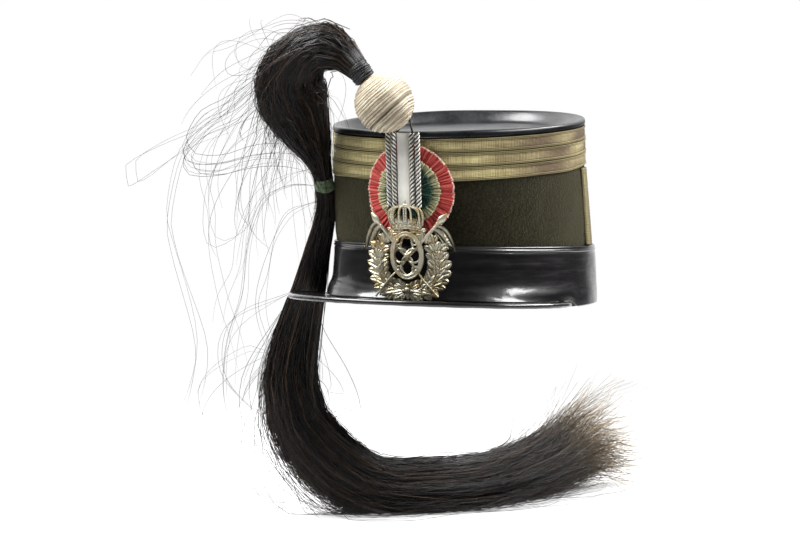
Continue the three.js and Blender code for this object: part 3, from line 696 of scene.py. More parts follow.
def make_loop_ribbon():
    """Grey ribbon down the middle of the loop, its edges curled up a little."""
    across = np.linspace(-1, 1, 13)
    up = np.linspace(LOOP_FOOT, LOOP_TOP, 60)[:, None]
    curl = 0.28 * across**2 + 0.08 * np.sin(up / 2.7) * across**2 + 0.12 * np.sin(up / 9)
    outer = front("loop", loop_middle(up) + LOOP_RIBBON_HALF * across, up, 0.95 + curl)
    inner = front("loop", loop_middle(up) + LOOP_RIBBON_HALF * across, up, 0.45 + curl)
    points = np.concatenate([outer, inner[:, ::-1]], 1)
    return lattice("loop_ribbon_silk", points, up.ravel(), np.linspace(0, 15.6, 27), (False, True))


def make_loop_cord(index):
    """One cord of the loop: three strands of fine metal thread. The two pairs are laid opposite ways."""
    place = index - 1.5
    hand = 1 if place > 0 else -1
    up = np.linspace(LOOP_FOOT + 0.5, LOOP_TOP, CORD_STEPS)
    across = loop_middle(up) + CORD_PLACES[abs(place) > 1] * hand
    turn = -hand * tau * up / CORD_LAY + np.arange(3)[:, None] * tau / 3 + index
    paths = front("loop", across + STRAND_OFF * np.cos(turn), up, CORD_OUT + STRAND_OFF * np.sin(turn))
    cord = strands(f"loop_cord_{index + 1}_laid", paths, np.full(paths.shape[:2], STRAND_RADIUS), 8)
    middle = front("loop", across, up, CORD_OUT)
    places = places_of(cord.data) / MM
    near = np.interp(places[:, 2], up, np.arange(CORD_STEPS)).round().astype(int)
    from_middle = np.linalg.norm(places - middle[near], axis=1)
    # how far each point stands out from the cord's middle; the material paints the low parts almost black:
    # tarnish, darkened further as painted shade
    mark(cord.data, "crest", np.clip(from_middle - 0.6, 0, 1))
    return cord


# The ball, its wire, and the plume's binding and tie.

BALL_CENTRE, BALL_RADIUS = np.array([-9.4, -117, 123.7]), 17.6
BALL_AXIS = np.array([-16, -4.7, 20.9]) / np.linalg.norm([-16, -4.7, 20.9])
BALL_GROOVES = [
    # place from the foot of the ball to its neck, depth, width
    (0.1, 0.8, 0.009), (0.165, 0.9, 0.01), (0.235, 0.9, 0.01), (0.3, 1.0, 0.011),
    (0.375, 1.5, 0.016), (0.44, 0.6, 0.008), (0.51, 0.7, 0.008), (0.575, 0.5, 0.008),
    (0.64, 0.7, 0.008), (0.7, 0.5, 0.008), (0.765, 0.7, 0.008), (0.83, 0.6, 0.009),
    (0.9, 0.7, 0.01),
]


def make_ball():
    """A ball wound round with cord: its turns lie side by side, with deeper grooves between some of them."""
    share = np.linspace(0, 1, 224)
    turn = np.linspace(0, tau, 96, endpoint=False)[:, None]
    slant = 0.022 * np.sin(turn + 0.8) + 0.008 * np.sin(2 * turn + 2)
    taper = np.sin(pi * share)
    level = share + slant * taper
    groove = 0
    for place, depth, width in BALL_GROOVES:
        groove = groove + depth * bump_at(level, place + 0.01 * np.sin(turn + 9 * place), width)
    fray = wobble(points_at(20 * np.cos(turn), 20 * np.sin(turn), 60 * level), 9, 61)
    thread = 0.5 + 0.5 * np.cos(tau * (level * 31 + 0.12 * fray))
    radius = BALL_RADIUS - 0.12 + 0.42 * thread**0.7 - 0.4 * groove + 0.2 * fray * taper
    side, other = frame_of(BALL_AXIS)
    polar = pi * (1 - share)
    flat = radius * np.sin(polar)
    points = (
        BALL_CENTRE
        + (radius * np.cos(polar))[..., None] * BALL_AXIS
        + (flat * np.cos(turn))[..., None] * side
        + (flat * np.sin(turn))[..., None] * other
    )
    points[:, 0] = points[:, 0].mean(0)
    points[:, -1] = points[:, -1].mean(0)
    unrolled_turn = np.linspace(0, 110, 97)
    # both fields lead the material to painted shade in the grooves and between the turns
    fields = {"groove": np.clip(groove, 0, 1), "thread": thread}
    return lattice("ball_wound_cord", points, unrolled_turn, share * 55, (True, False), **fields)


WIRE = [
    (-4.6, -109.3, 99.6), (-4.6, -109.5, 104), (-4.1, -109.3, 106.9), (-2.4, -107.2, 109.6),
    (-0.6, -105.2, 112.2), (1.6, -105.2, 113.9), (3.4, -107.4, 113.4), (4.6, -109, 110.4),
    (5.7, -109.5, 107.2), (6.3, -109.6, 103.6), (6.4, -109.4, 99.6),
]


def make_wire():
    """Steel hairpin that carries the ball."""
    path, length = smooth_path(WIRE)
    steps = np.linspace(0, length[-1], 80)
    return curved_rod("ball_wire_steel", sample(path, length, steps) * MM, 0.6 * MM, sides=4)


def make_binding():
    """Black thread wound thick round the plume's neck, with a few glossy turns crossing over it."""
    turns, steps, over_steps = 13, 620, 260
    t = np.linspace(0, 1, steps)
    turn = tau * turns * t
    side, other = frame_of(BALL_AXIS)
    radius = 6.15 + 0.12 * np.sin(turn * 0.37) + 0.1 * np.sin(turn * 2.3) - 0.35 * (2 * t - 1) ** 6
    along = 17.9 + 9.8 * t + 0.25 * np.sin(turn * 0.51)
    ring = np.cos(turn)[:, None] * side + np.sin(turn)[:, None] * other
    path = BALL_CENTRE + along[:, None] * BALL_AXIS + radius[:, None] * ring
    pieces = [strands("neck_thread", path[None], np.full((1, steps), 0.56), 6)]
    over = np.linspace(0, 1, over_steps)
    for start, way, twist in ((1.0, 1, 1.4), (3.0, -1, 1.2), (4.6, 1, 0.8)):
        turn = start + way * tau * twist * over
        ring = np.cos(turn)[:, None] * side + np.sin(turn)[:, None] * other
        path = BALL_CENTRE + (27 - 8.4 * over)[:, None] * BALL_AXIS + 6.85 * ring
        pieces.append(strands("neck_thread_over", path[None], np.full((1, over_steps), 0.3), 6))
    return join(pieces, "neck_thread")


def make_tie():
    """Green tape wound three times round the plume, each turn a little askew."""
    axis = np.array([-1, 6, -10]) / np.linalg.norm([-1, 6, -10])
    side, other = frame_of(axis)
    centre = np.array([-70.5, -64, 74])
    wraps = []
    for start, tilt, radius in ((-2.3, 0.05, 5.5), (0.2, -0.08, 5.7), (1.9, 0.06, 5.9)):
        turn = np.linspace(0, tau, 60, endpoint=False)[:, None]
        v = np.linspace(-1, 1, 9)
        bulge = radius + 0.22 * (1 - v**2) + 0.12 * np.sin(5 * turn + start)
        along = start + 2.1 * v + 5 * tilt * np.sin(turn + start) + 0.12 * np.sin(7 * turn)
        ring = np.cos(turn)[..., None] * side + np.sin(turn)[..., None] * other
        outside = centre + along[..., None] * axis + ring * bulge[..., None]
        inside = centre + along[..., None] * axis + ring * (bulge[..., None] - 0.35)
        points = np.concatenate([outside, inside[:, ::-1]], 1)
        wraps.append(lattice("tape_wrap", points, np.linspace(0, 32, 61), np.linspace(0, 9, 19)))
    return join(wraps, "plume_tape")


# The plume.

FLOOR_Z = -141.5
PLUME = [
    # x, y, z, width in the plane that the plume hangs in, depth across it
    (-20.2, -120.2, 137.9, 11.2, 11.2), (-26.8, -122.1, 146.4, 11.2, 11.2), (-33, -121.5, 151, 19, 15),
    (-44, -121, 156, 26, 22), (-56, -119, 154, 28, 26), (-66, -115, 147, 33, 28),
    (-73, -109, 139, 39, 30), (-76, -101, 128, 42, 30), (-76, -93, 119, 38, 28),
    (-75, -85, 109, 31, 24), (-73, -78, 99, 23, 18), (-71, -72, 90, 14, 12),
    (-70, -67, 79, 8.6, 8.6), (-71, -61, 69, 8.8, 8.8), (-73, -55, 54, 11, 10),
    (-80, -48, 38, 14, 13), (-86, -42, 24, 18, 15), (-92, -35, 8, 20, 16),
    (-98, -33, -9, 24, 20), (-103, -33, -28, 28, 24), (-106, -33, -52, 31, 28),
    (-104, -31, -68, 33, 30), (-101, -29, -81, 35, 33), (-93, -24, -95, 38, 36),
    (-80, -15, -110, 39, 38), (-67, -5, -120, 38, 40), (-54, 9, -125, 36, 42),
    (-35, 28, -126, 36, 44), (-19, 50, -126, 36, 46), (-6, 81, -125, 36, 46),
    (8, 114, -121, 39, 44), (19, 146, -114, 44, 40), (29, 173, -106, 52, 36),
    (40, 196, -103, 62, 38), (50, 213, -101, 68, 38),
]
NECK_AT, TIE_AT = 5.0, 208.0  # lengths along the plume where it is bound
PLUME_FACING = radians(20)
ACROSS_PLUME = np.array([-sin(PLUME_FACING), cos(PLUME_FACING), 0])
HAIR_OFF_FLOOR = 0.4
LOCKS = 34
REACH_LOW, REACH_HIGH = (-164, -157, FLOOR_Z + HAIR_OFF_FLOOR), (120, 230, 186)


def plume_path():
    """The plume's middle line: each row is a place, a width, a depth, and the directions of these two."""
    path, length = smooth_path(PLUME)
    along = np.gradient(path[:, :3], axis=0)
    along /= np.linalg.norm(along, axis=1, keepdims=True)
    wide = np.cross(along, ACROSS_PLUME)
    wide /= np.linalg.norm(wide, axis=1, keepdims=True)
    deep = np.cross(wide, along)
    return np.concatenate([path, wide, deep], 1), length


def beside(row, across, through):
    """Points so far from the plume's middle line along its section's width and depth."""
    return row[..., :3] + across[..., None] * row[..., 5:8] + through[..., None] * row[..., 8:11]


def make_hair(name, count, seed, thick):
    """Strands of horsehair laid through the plume's sections, drawn together into locks."""
    rng = np.random.default_rng(seed)
    path, length = plume_path()
    whole = length[-1]
    bend = np.linalg.norm(np.gradient(path[:, 5:8], axis=0), axis=1) / np.maximum(np.gradient(length), 1e-6)
    dense = np.concatenate([[0], np.cumsum((1 + 45 * bend[1:]) * np.diff(length))])
    steps = 26
    start = np.where(rng.random(count) < 0.82, 0.0, rng.uniform(0, 0.25, count))
    whole_hair = rng.random(count) < 0.8
    stop = np.where(whole_hair, 1 - 0.12 * rng.random(count) ** 1.6, rng.uniform(0.62, 0.97, count))
    angle, radius = rng.uniform(0, tau, count), rng.random(count) ** 0.42
    uv = np.stack([radius * np.cos(angle), radius * np.sin(angle)], 1)
    stop = stop - 0.045 * np.maximum(uv[:, 0] + 0.2, 0)
    k = np.linspace(0, 1, steps)
    reach = start[:, None] + (stop - start)[:, None] * k
    at = np.interp(reach * dense[-1], dense, length)
    row = sample(path, length, at)

    lock_angle, lock_radius = rng.uniform(0, tau, LOCKS), rng.random(LOCKS) ** 0.5 * 0.93
    lock_uv = np.stack([lock_radius * np.cos(lock_angle), lock_radius * np.sin(lock_angle)], 1)
    near = np.argmin(((uv[:, None] - lock_uv) ** 2).sum(2), 1)
    tight = np.minimum(np.abs(at - NECK_AT) / 22, np.abs(at - TIE_AT) / 26)
    free = ease(tight, 0, 1)
    tail = ease(at, whole - 110, whole)
    clump = 0.22 + 0.25 * free + 0.36 * tail
    clump = clump * rng.uniform(0.5, 1.25, count)[:, None]
    place = uv[:, None] + (lock_uv[near] - uv)[:, None] * clump[..., None]
    lock_phase = rng.uniform(0, tau, (LOCKS, 2, 3))[near]
    own_phase = rng.uniform(0, tau, (count, 2, 3))
    flight = at[..., None] / np.array([95.0, 60.0, 33.0])
    sway = (np.sin(flight[:, None] * 1.0 + lock_phase[:, :, None]) * [0.10, 0.06, 0.02]).sum(-1)
    own = (np.sin(flight[:, None] * 1.7 + own_phase[:, :, None]) * [0.05, 0.05, 0.03]).sum(-1)
    wild = np.where(rng.random(count) < 0.07, rng.uniform(1.2, 3.6, count), 1)[:, None]
    loose = free * (1 + 1.3 * tail)
    place = place + (sway + own * wild[:, None]).transpose(0, 2, 1) * loose[..., None]
    flick = (at - at[:, -1:] + 55) / 55
    away = rng.normal(0, 1, (count, 3)) * [7, 9, 10]
    points = beside(row, row[..., 3] / 2 * place[..., 0], row[..., 4] / 2 * place[..., 1])
    points += away[:, None] * (np.maximum(flick, 0) ** 2)[..., None] * free[..., None]
    points[..., 2] = np.maximum(points[..., 2], FLOOR_Z + 0.3 + thick)
    end = (1 - k) ** 0.5
    radii = thick * rng.uniform(0.7, 1.2, count)[:, None] * (0.25 + 0.75 * np.minimum(1, end * 2.2))
    radii = radii * (0.45 + 0.55 * free)
    fields = {
        "age": ease(at, whole - 96, whole - 10) * rng.uniform(0.3, 1, count)[:, None],
        "tone": np.broadcast_to(rng.random(count)[:, None], at.shape),
    }
    return strands(name, points, radii, **fields)


LOOSE_SPANS = [
    # from, to, facing, spread, share of the hairs
    (14, 120, pi, 1.3, 0.4), (60, 184, pi, 1.6, 0.3), (232, 420, 2.6, 1.6, 0.16), (400, 640, 0, 2.2, 0.14),
]
VEIL_SPANS = [(234, 470, pi, 0.55, 0.3), (300, 600, pi, 0.5, 0.65), (240, 330, 0, 0.6, 0.05)]


def make_surface_hair(name, count, seed, thick, spans, drift, lift, wander):
    """Hairs that stray over the plume's surface, cross each other and spring off it at their ends.

    Each span is a stretch of the plume, a facing round its section, where 0 is its inner side and pi its
    outer one, the spread of that facing, and a share of the hairs."""
    rng = np.random.default_rng(seed)
    path, length = plume_path()
    which = rng.choice(len(spans), count, p=[span[4] for span in spans])
    first, last, facing, spread = np.array(spans)[which, :4].T
    reach = (last - first) * rng.uniform(0.25, 0.8, count)
    start = first + (last - first - reach) * rng.random(count)
    share = np.linspace(0, 1, 20)
    at = start[:, None] + reach[:, None] * share
    row = sample(path, length, at)
    turn = (facing + spread * rng.normal(0, 1, count))[:, None]
    turn = turn + drift * rng.normal(0, 1, count)[:, None] * (share - 0.4) * reach[:, None] / 100
    phase = rng.uniform(0, tau, (count, 3, 1))
    turn = turn + 0.1 * np.sin(at / 21 + phase[:, 0]) + 0.05 * np.sin(at / 9 + phase[:, 1])
    off = lift * rng.exponential(1, count)[:, None] * np.sin(pi * np.clip(share * 0.86 + 0.02, 0, 1)) ** 1.5
    off = off + wander * rng.exponential(1, count)[:, None] * np.maximum(share - 0.62, 0) ** 1.6 * 4.3
    off = off * (1 + 0.3 * np.sin(at / 16 + phase[:, 2]))
    close = 0.93 + 0.06 * rng.random(count)[:, None]
    across, through = row[..., 3] / 2 * close + off, row[..., 4] / 2 * close + off
    points = beside(row, across * np.cos(turn), through * np.sin(turn))
    points[..., 2] -= 0.35 * off**1.3 * share
    lowest = FLOOR_Z + HAIR_OFF_FLOOR
    above = points[..., 2] - lowest
    points[..., 2] = lowest + (above + np.sqrt(above**2 + 9)) / 2
    points = np.clip(points, [-158, -150, lowest], REACH_HIGH)
    radii = thick * rng.uniform(0.55, 1.15, count)[:, None] * (1 - 0.65 * share**3)
    tone = np.broadcast_to(rng.random(count)[:, None] ** 0.7, at.shape)
    return strands(name, points, radii, age=ease(at, 560, 640) * 0.5, tone=tone)


STRAYS = [
    # hairs, how far they stray from each other, and their route
    (9, 3.2, [
        (-72, -123, 153), (-83, -123, 145), (-94, -123, 129), (-108, -124, 117), (-124, -126, 109),
        (-136, -126, 95), (-138, -123, 89), (-135, -118, 83), (-122, -109, 83), (-108, -99, 88),
        (-93, -90, 90), (-78, -80, 87), (-71, -73, 81),
    ]),
    (2, 3, [
        (-78, -123, 147), (-99, -128, 129), (-119, -132, 111), (-143, -138, 99), (-161, -142, 87),
        (-164, -141, 78), (-164, -138, 73), (-159, -132, 75), (-149, -126, 84), (-132, -116, 99),
        (-114, -106, 107),
    ]),
    (3, 3, [
        (-74, -108, 137), (-89, -122, 133), (-105, -125, 122), (-121, -129, 110), (-137, -132, 95),
        (-147, -130, 58), (-145, -127, 36), (-132, -117, -17), (-135, -115, -46), (-145, -116, -73),
        (-153, -119, -90),
    ]),
    (2, 3, [
        (-75, -92, 113), (-98, -98, 108), (-116, -102, 95), (-127, -104, 77), (-130, -103, 56),
        (-130, -101, 44), (-128, -98, 37), (-124, -94, 37), (-115, -88, 44), (-109, -84, 59),
        (-109, -81, 75), (-107, -78, 94),
    ]),
    (2, 3, [
        (-80, -96, 118), (-106, -99, 112), (-125, -99, 100), (-135, -95, 80), (-132, -88, 53),
        (-135, -82, 29), (-132, -74, -2), (-127, -65, -26), (-125, -57, -45),
    ]),
    (3, 2.5, [
        (-92, -36, 8), (-119, -45, -3), (-133, -49, -10), (-142, -52, -19), (-146, -53, -32),
        (-145, -52, -49), (-136, -48, -64), (-124, -43, -75), (-104, -34, -84),
    ]),
    (2, 2.5, [
        (-105, -37, -35), (-122, -43, -36), (-133, -46, -35), (-150, -52, -45), (-160, -55, -58),
        (-160, -55, -71), (-155, -52, -84), (-145, -47, -91), (-136, -43, -89), (-126, -39, -80),
        (-111, -33, -74),
    ]),
    (3, 2.5, [
        (-102, -25, -108), (-120, -34, -104), (-136, -42, -99), (-145, -47, -97), (-154, -52, -93),
    ]),
    (4, 2.5, [
        (-116, -33, -80), (-130, -37, -97), (-131, -37, -113), (-129, -35, -127), (-122, -32, -136),
        (-110, -27, -138), (-94, -21, -138), (-79, -14, -134),
    ]),
    (3, 3, [
        (-52, -118, 163), (-65, -121, 158), (-85, -126, 161), (-98, -129, 158), (-103, -129, 150),
        (-100, -126, 141), (-88, -120, 139), (-73, -112, 142),
    ]),
    (3, 3, [
        (-52, -115, 169), (-63, -120, 171), (-79, -126, 168), (-96, -133, 158), (-111, -139, 148),
        (-124, -144, 134),
    ]),
    (3, 2, [
        (-59, -96, 130), (-52, -86, 123), (-49, -77, 108), (-53, -71, 91), (-63, -66, 77),
    ]),
    (3, 3, [
        (-74, -60, 64), (-85, -60, 59), (-99, -61, 52), (-109, -61, 37), (-115, -59, 14),
        (-120, -57, -8), (-118, -52, -27), (-111, -45, -48),
    ]),
    (4, 3, [
        (-75, -64, 72), (-92, -66, 72), (-107, -68, 63), (-116, -67, 43), (-121, -65, 23),
        (-124, -62, -1), (-131, -61, -27), (-134, -58, -56), (-132, -53, -79), (-120, -45, -95),
    ]),
    (3, 3, [
        (-76, -71, 83), (-92, -74, 78), (-108, -76, 65), (-118, -76, 46), (-123, -74, 23),
        (-132, -74, 2), (-136, -72, -14),
    ]),
]


SPRUNG_HAIRS = [
    # kind, count, and the stretch of the plume that they spring from
    ("fold", 80, 56, 118), ("over", 230, 16, 100), ("fall", 36, 235, 470),
]
COARSE_HAIR, FINE_HAIR = 0.15, 0.11  # radius


def make_strays():
    """Single hairs that have sprung loose, hang in wide loops beside the plume and frizz at its fold."""
    rng = np.random.default_rng(77)
    steps = 28
    share = np.linspace(0, 1, steps)
    paths, thick = [], []
    for count, apart, rows in STRAYS:
        thick += [COARSE_HAIR if count > 5 else FINE_HAIR] * count
        path, length = smooth_path(rows)
        for copy in range(count):
            points = sample(path, length, share * length[-1] * (1 if copy < 2 else rng.uniform(0.7, 1)))
            drift = rng.normal(0, 1, 3) * [1, 1.3, 1] * apart
            swing = rng.normal(0, 0.6, 3) * apart
            sway = swing * np.sin(share[:, None] * rng.uniform(4, 11, 3) + rng.uniform(0, tau, 3))
            paths.append(points + (drift + sway) * ease(share, 0, 0.3)[:, None])
    plume, plume_length = plume_path()
    for kind, count, first, last in SPRUNG_HAIRS:
        thick += [COARSE_HAIR if kind == "over" else FINE_HAIR] * count
        for _ in range(count):
            at = rng.uniform(first, last)
            row = sample(plume, plume_length, at)
            angle = pi + rng.normal(0, 0.75)
            out = cos(angle) * row[5:8] + sin(angle) * row[8:11]
            root = beside(row, 0.44 * cos(angle) * row[3], 0.44 * sin(angle) * row[4])
            along = sample(plume, plume_length, at + 4)[:3] - row[:3]
            along /= np.linalg.norm(along)
            if kind == "fold" and rng.random() < 0.1:
                along = -along
            reach = rng.gamma(2, 4) + 4 if kind == "over" else min(rng.gamma(2.4, 14) + 6, 60)
            bow = rng.uniform(0.1, 0.7) if kind == "over" else rng.uniform(0.3, 1.1)
            curl = rng.normal(0, 0.05, 3) * reach * np.sin(share[:, None] * rng.uniform(2, 5))
            step = along * share[:, None] + out * bow * np.sin(share[:, None] * pi * rng.uniform(0.3, 0.7))
            sag = np.array([0, 0, 0.3]) * reach * share[:, None] ** 2
            paths.append(root + reach * step + curl * share[:, None] - sag)
    paths = np.clip(np.array(paths), REACH_LOW, REACH_HIGH)
    radii = (np.array(thick) * rng.uniform(0.6, 1.15, len(paths)))[:, None] * np.ones(steps)
    radii[:, -6:] *= np.linspace(1, 0.4, 6)
    tone = np.broadcast_to(rng.random(len(paths))[:, None], radii.shape)
    return strands("plume_stray_hairs", paths, radii, age=0 * radii, tone=tone)


# The badge.

BADGE_X = 3.4


def leaf_pattern():
    """A laurel leaf one unit long: cupped, with a groove for its middle vein and raised side veins."""
    bpy.ops.mesh.primitive_grid_add(x_subdivisions=11, y_subdivisions=6, size=1)
    leaf = bpy.context.object
    # painted shade: dark along the leaf's margins, base and tip, for the badge's material
    painted_shade_and_tone = leaf.data.attributes.new("painted_shade_and_tone", "FLOAT", "POINT")
    for vertex in leaf.data.vertices:
        s, w = vertex.co.x + 0.5, vertex.co.y * 2
        edge = max(ease(abs(w), 0.5, 1), ease(s, 0.22, 0.05), ease(s, 0.93, 1))
        painted_shade_and_tone.data[vertex.index].value = 0.85 * edge
        half = 0.2 * sin(pi * min(1, s * 1.01) ** 0.9) ** 0.55
        vein = 0.03 * cos(30 * (s - 0.3 * abs(w)))
        arch = 0.12 * (1 - w * w) - 0.08 * np.exp(-((w / 0.17) ** 2)) + vein * (1 - abs(w) ** 3)
        vertex.co = (s - 0.06, w * max(half, 0.004), arch + 0.05 * sin(pi * s))
    solid = leaf.modifiers.new("body", "SOLIDIFY")
    solid.thickness = 0.05
    solid.offset = -1
    return apply_modifiers(leaf)


def stamp(pattern, x, z, out, turn, size=(1, 1, 1), tilt=0.0):
    """A copy of a pattern piece, with its own mesh, at its place in the flat badge."""
    copy = pattern.copy()
    copy.data = pattern.data.copy()
    bpy.context.scene.collection.objects.link(copy)
    turned = Matrix.Rotation(turn, 4, "Z") @ Matrix.Rotation(tilt, 4, "Y")
    copy.data.transform(Matrix.Translation((x, z, out)) @ turned @ Matrix.Diagonal((*size, 1)))
    return copy


def bead(x, z, out, radius, squash=1.0):
    """A small round bead of the casting."""
    place, size = (x, z, out), (1, squash, 1)
    bpy.ops.mesh.primitive_uv_sphere_add(segments=10, ring_count=6, radius=radius, location=place, scale=size)
    return settle(bpy.context.object)


OVAL_Z, OVAL_HALF_WIDTH, OVAL_HALF_HEIGHT = 33.4, 8.8, 13.1
KNOT_PETALS = [
    # middle's place across and up from the oval's, half width, half height, and where it starts to weave
    (0, 6.3, 3.7, 5.6, 0.6), (0, -6.3, 3.7, 5.6, 0.6), (-4.0, 0, 4.1, 4.2, 2.2), (4.0, 0, 4.1, 4.2, 2.2),
]


def make_oval():
    """The oval frame and the knot of four petals inside it, which pass over and under each other."""
    t = np.linspace(0, tau, 72, endpoint=False)

    def oval(x, z, half_width, half_height, out):
        return points_at(x + half_width * np.cos(t), OVAL_Z + z + half_height * np.sin(t), out)

    pieces = [curved_rod("ring", oval(0, 0, OVAL_HALF_WIDTH, OVAL_HALF_HEIGHT, 2.0), 1.5, True)]
    for side in (-0.85, 0.85):
        ridge = oval(0, 0, OVAL_HALF_WIDTH + side, OVAL_HALF_HEIGHT + side, 3.1)
        pieces.append(curved_rod("ring_ridge", ridge, 0.5, True))
    for x, z, half_width, half_height, phase in KNOT_PETALS:
        weave = 2.1 + 0.6 * np.sin(4 * t + phase)
        pieces.append(curved_rod("petal", oval(x, z, half_width, half_height, weave), 0.72, True))
        ridge = oval(x, z, half_width, half_height, weave + 0.66)
        pieces.append(curved_rod("petal_ridge", ridge, 0.24, True, 2))
    turn = np.linspace(0, 1.5 * pi, 28)
    size = 2.2 * (1 - turn / (2.2 * pi))
    for x, z in ((-1, 1), (1, 1), (-1, -1), (1, -1)):
        up = OVAL_Z + z * (8.2 - size * np.sin(turn))
        curl = points_at(x * (5.2 - size * np.cos(turn)), up, 2.2 + 0.1 * turn)
        pieces.append(curved_rod("scroll", curl, 0.62, False, 2))
        pieces.append(bead(curl[-1][0], curl[-1][1], 2.9, 0.95))
    pieces.append(bead(0, OVAL_Z, 2.6, 1.7))
    return pieces


LANCES = [
    # tip's place across and up, butt's place across and up, and how far out
    (-22.5, 58.9, 17.6, 9.1, 1.3), (24.4, 59.3, -20.1, 8.2, 1.6),
]


def make_lances():
    """Two crossed lances with leaf-shaped heads, which pass behind the oval."""
    pieces = []
    for tip_x, tip_z, butt_x, butt_z, out in LANCES:
        tip, butt = Vector((tip_x, tip_z, 0)), Vector((butt_x, butt_z, 0))
        way = (butt - tip).normalized()
        shares = np.linspace(7.5, (butt - tip).length, 40)
        rise = out + 0.9 * (1 - ease(shares, 12, 30)) + 2.4 * ease(shares, 43, 52)
        shaft = [(*(tip + way * s).xy, height) for s, height in zip(shares, rise)]
        taper = 1.0 - 0.42 * ease(shares, 22, 36)
        pieces.append(curved_rod("shaft", shaft, 0.95, taper=taper))
        for at, size in ((8.6, 1.35), (10.4, 1.15)):
            collar = tip + way * at
            pieces.append(bead(collar.x, collar.y, out + 0.9, size))
        bpy.ops.mesh.primitive_uv_sphere_add(segments=12, ring_count=14, radius=1)
        head = bpy.context.object
        for vertex in head.data.vertices:
            x, y, z = vertex.co
            s = (1 - x) / 2
            half = 2.1 * sin(pi * s**1.35) ** 0.85 + 0.1
            flat = hypot(y, z) or 1
            vertex.co = (9.2 * s, half * y / flat, half * 0.62 * z / flat)
        turn = atan2(way.y, way.x)
        head.data.transform(Matrix.Translation((tip.x, tip.y, out + 1.5)) @ Matrix.Rotation(turn, 4, "Z"))
        pieces.append(head)
    return pieces


TWIG_LEAVES = [
    # side of the stem, least and greatest angle to it, size
    (1, 0.95, 1.15, 1), (-1, 0.95, 1.15, 1), (1, 0.35, 0.55, 0.82), (-1, 0.35, 0.55, 0.82),
]
TOP_LEAVES = [
    # place beside the middle and up, heading, length: leaves between each spray's top and the oval
    (9.4, 41.2, 1.7, 7.5), (12.2, 40, 1.35, 8.5), (14.4, 41, 0.9, 7), (10.8, 44.5, 2.1, 6),
]
FOOT_LEAVES = [
    # heading, length, place across and up: the cluster where the sprays meet
    (-2.95, 9, -2, 11.8), (-2.5, 8.6, -2, 11.8), (-2.05, 7.4, -1, 12), (-1.57, 6.2, 0, 12.4),
    (-1.1, 7.4, 1, 12), (-0.65, 8.6, 2, 11.8), (-0.2, 9, 2, 11.8), (2.6, 7, -2, 13), (0.54, 7, 2, 13),
    (2.0, 6, -1, 13), (1.14, 6, 1, 13),
]
CROWN_LEAVES = [
    # place beside the middle and up, heading, length: leaves between the oval and the crown
    (1.2, 47.6, 0.2, 6.5), (5, 47, -0.1, 6), (1, 48.6, 0.6, 5), (5.5, 45.2, -0.7, 5.5), (8, 47.4, 0.5, 5),
]
FOOT_BERRIES = [
    # place across and up, how far out, radius
    (0, 13, 3.6, 1.5), (-2.4, 12.2, 3.2, 0.9), (2.4, 12.2, 3.2, 0.9), (0, 15.6, 3.2, 0.9),
]


def make_wreath(leaf):
    """Two sprays of laurel with stems and berries, and a flower-like cluster of leaves where they meet."""
    rng = np.random.default_rng(9)
    pieces = []
    for side in (-1, 1):
        stem = bezier((0, 12, 2.2), (side * 25, 11, 2.2), (side * 16, 42, 2.0), 40)
        pieces.append(curved_rod("stem", stem, 0.7))
        along = np.gradient(stem, axis=0)
        for i in range(9):
            spot = int((i + 0.8) / 9.6 * (len(stem) - 1))
            x, z, _ = stem[spot]
            heading = atan2(*along[spot][1::-1])
            for way, low, high, size in TWIG_LEAVES:
                outer = way != side
                length = (9.0 if outer else 8.4) * rng.uniform(0.95, 1.08) * size
                turn = heading + way * rng.uniform(low, high)
                lift = rng.uniform(0.1, 0.5) + (0.7 if size < 1 else 0)
                span = (length, length * 1.75, length * 1.2)
                pieces.append(stamp(leaf, x, z, 0.8 + lift, turn, span, rng.uniform(-0.12, -0.03)))
            pieces.append(bead(x, z, 2.9, 0.62))
        x, z, _ = stem[-1]
        pieces.append(stamp(leaf, x, z - 2, 1.6, atan2(*along[-1][1::-1]), (8, 10, 8), -0.1))
        for x, z, turn, length in TOP_LEAVES:
            heading = turn if side > 0 else pi - turn
            pieces.append(stamp(leaf, side * x, z, 1.2, heading, (length, length * 1.7, length * 1.2), -0.08))
    for turn, length, x, z in FOOT_LEAVES:
        pieces.append(stamp(leaf, x, z, 1.7, turn, (length, length * 1.25, length * 1.1), -0.12))
    for x, z, turn, length in CROWN_LEAVES:
        for side in (-1, 1):
            heading = turn if side > 0 else pi - turn
            pieces.append(stamp(leaf, side * x, z, 1.5, heading, (length, length * 1.7, length * 1.2), -0.08))
    return pieces + [bead(*berry) for berry in FOOT_BERRIES]


PENNON_EDGES = [
    # outer edge and inner edge, each from the lance to the tip
    (
        [(-16.8, 53.8), (-22.5, 51.6), (-26.4, 44.5), (-28.2, 35.6)],
        [(-14.6, 49.5), (-17.6, 45.6), (-19.4, 40.8), (-21.3, 36.0)],
    ),
    (
        [(17.2, 52.6), (23.4, 50.2), (27.2, 43.2), (29.2, 35.2)],
        [(15.2, 48.4), (18.6, 44.6), (21.2, 40.6), (24.4, 37.6)],
    ),
]


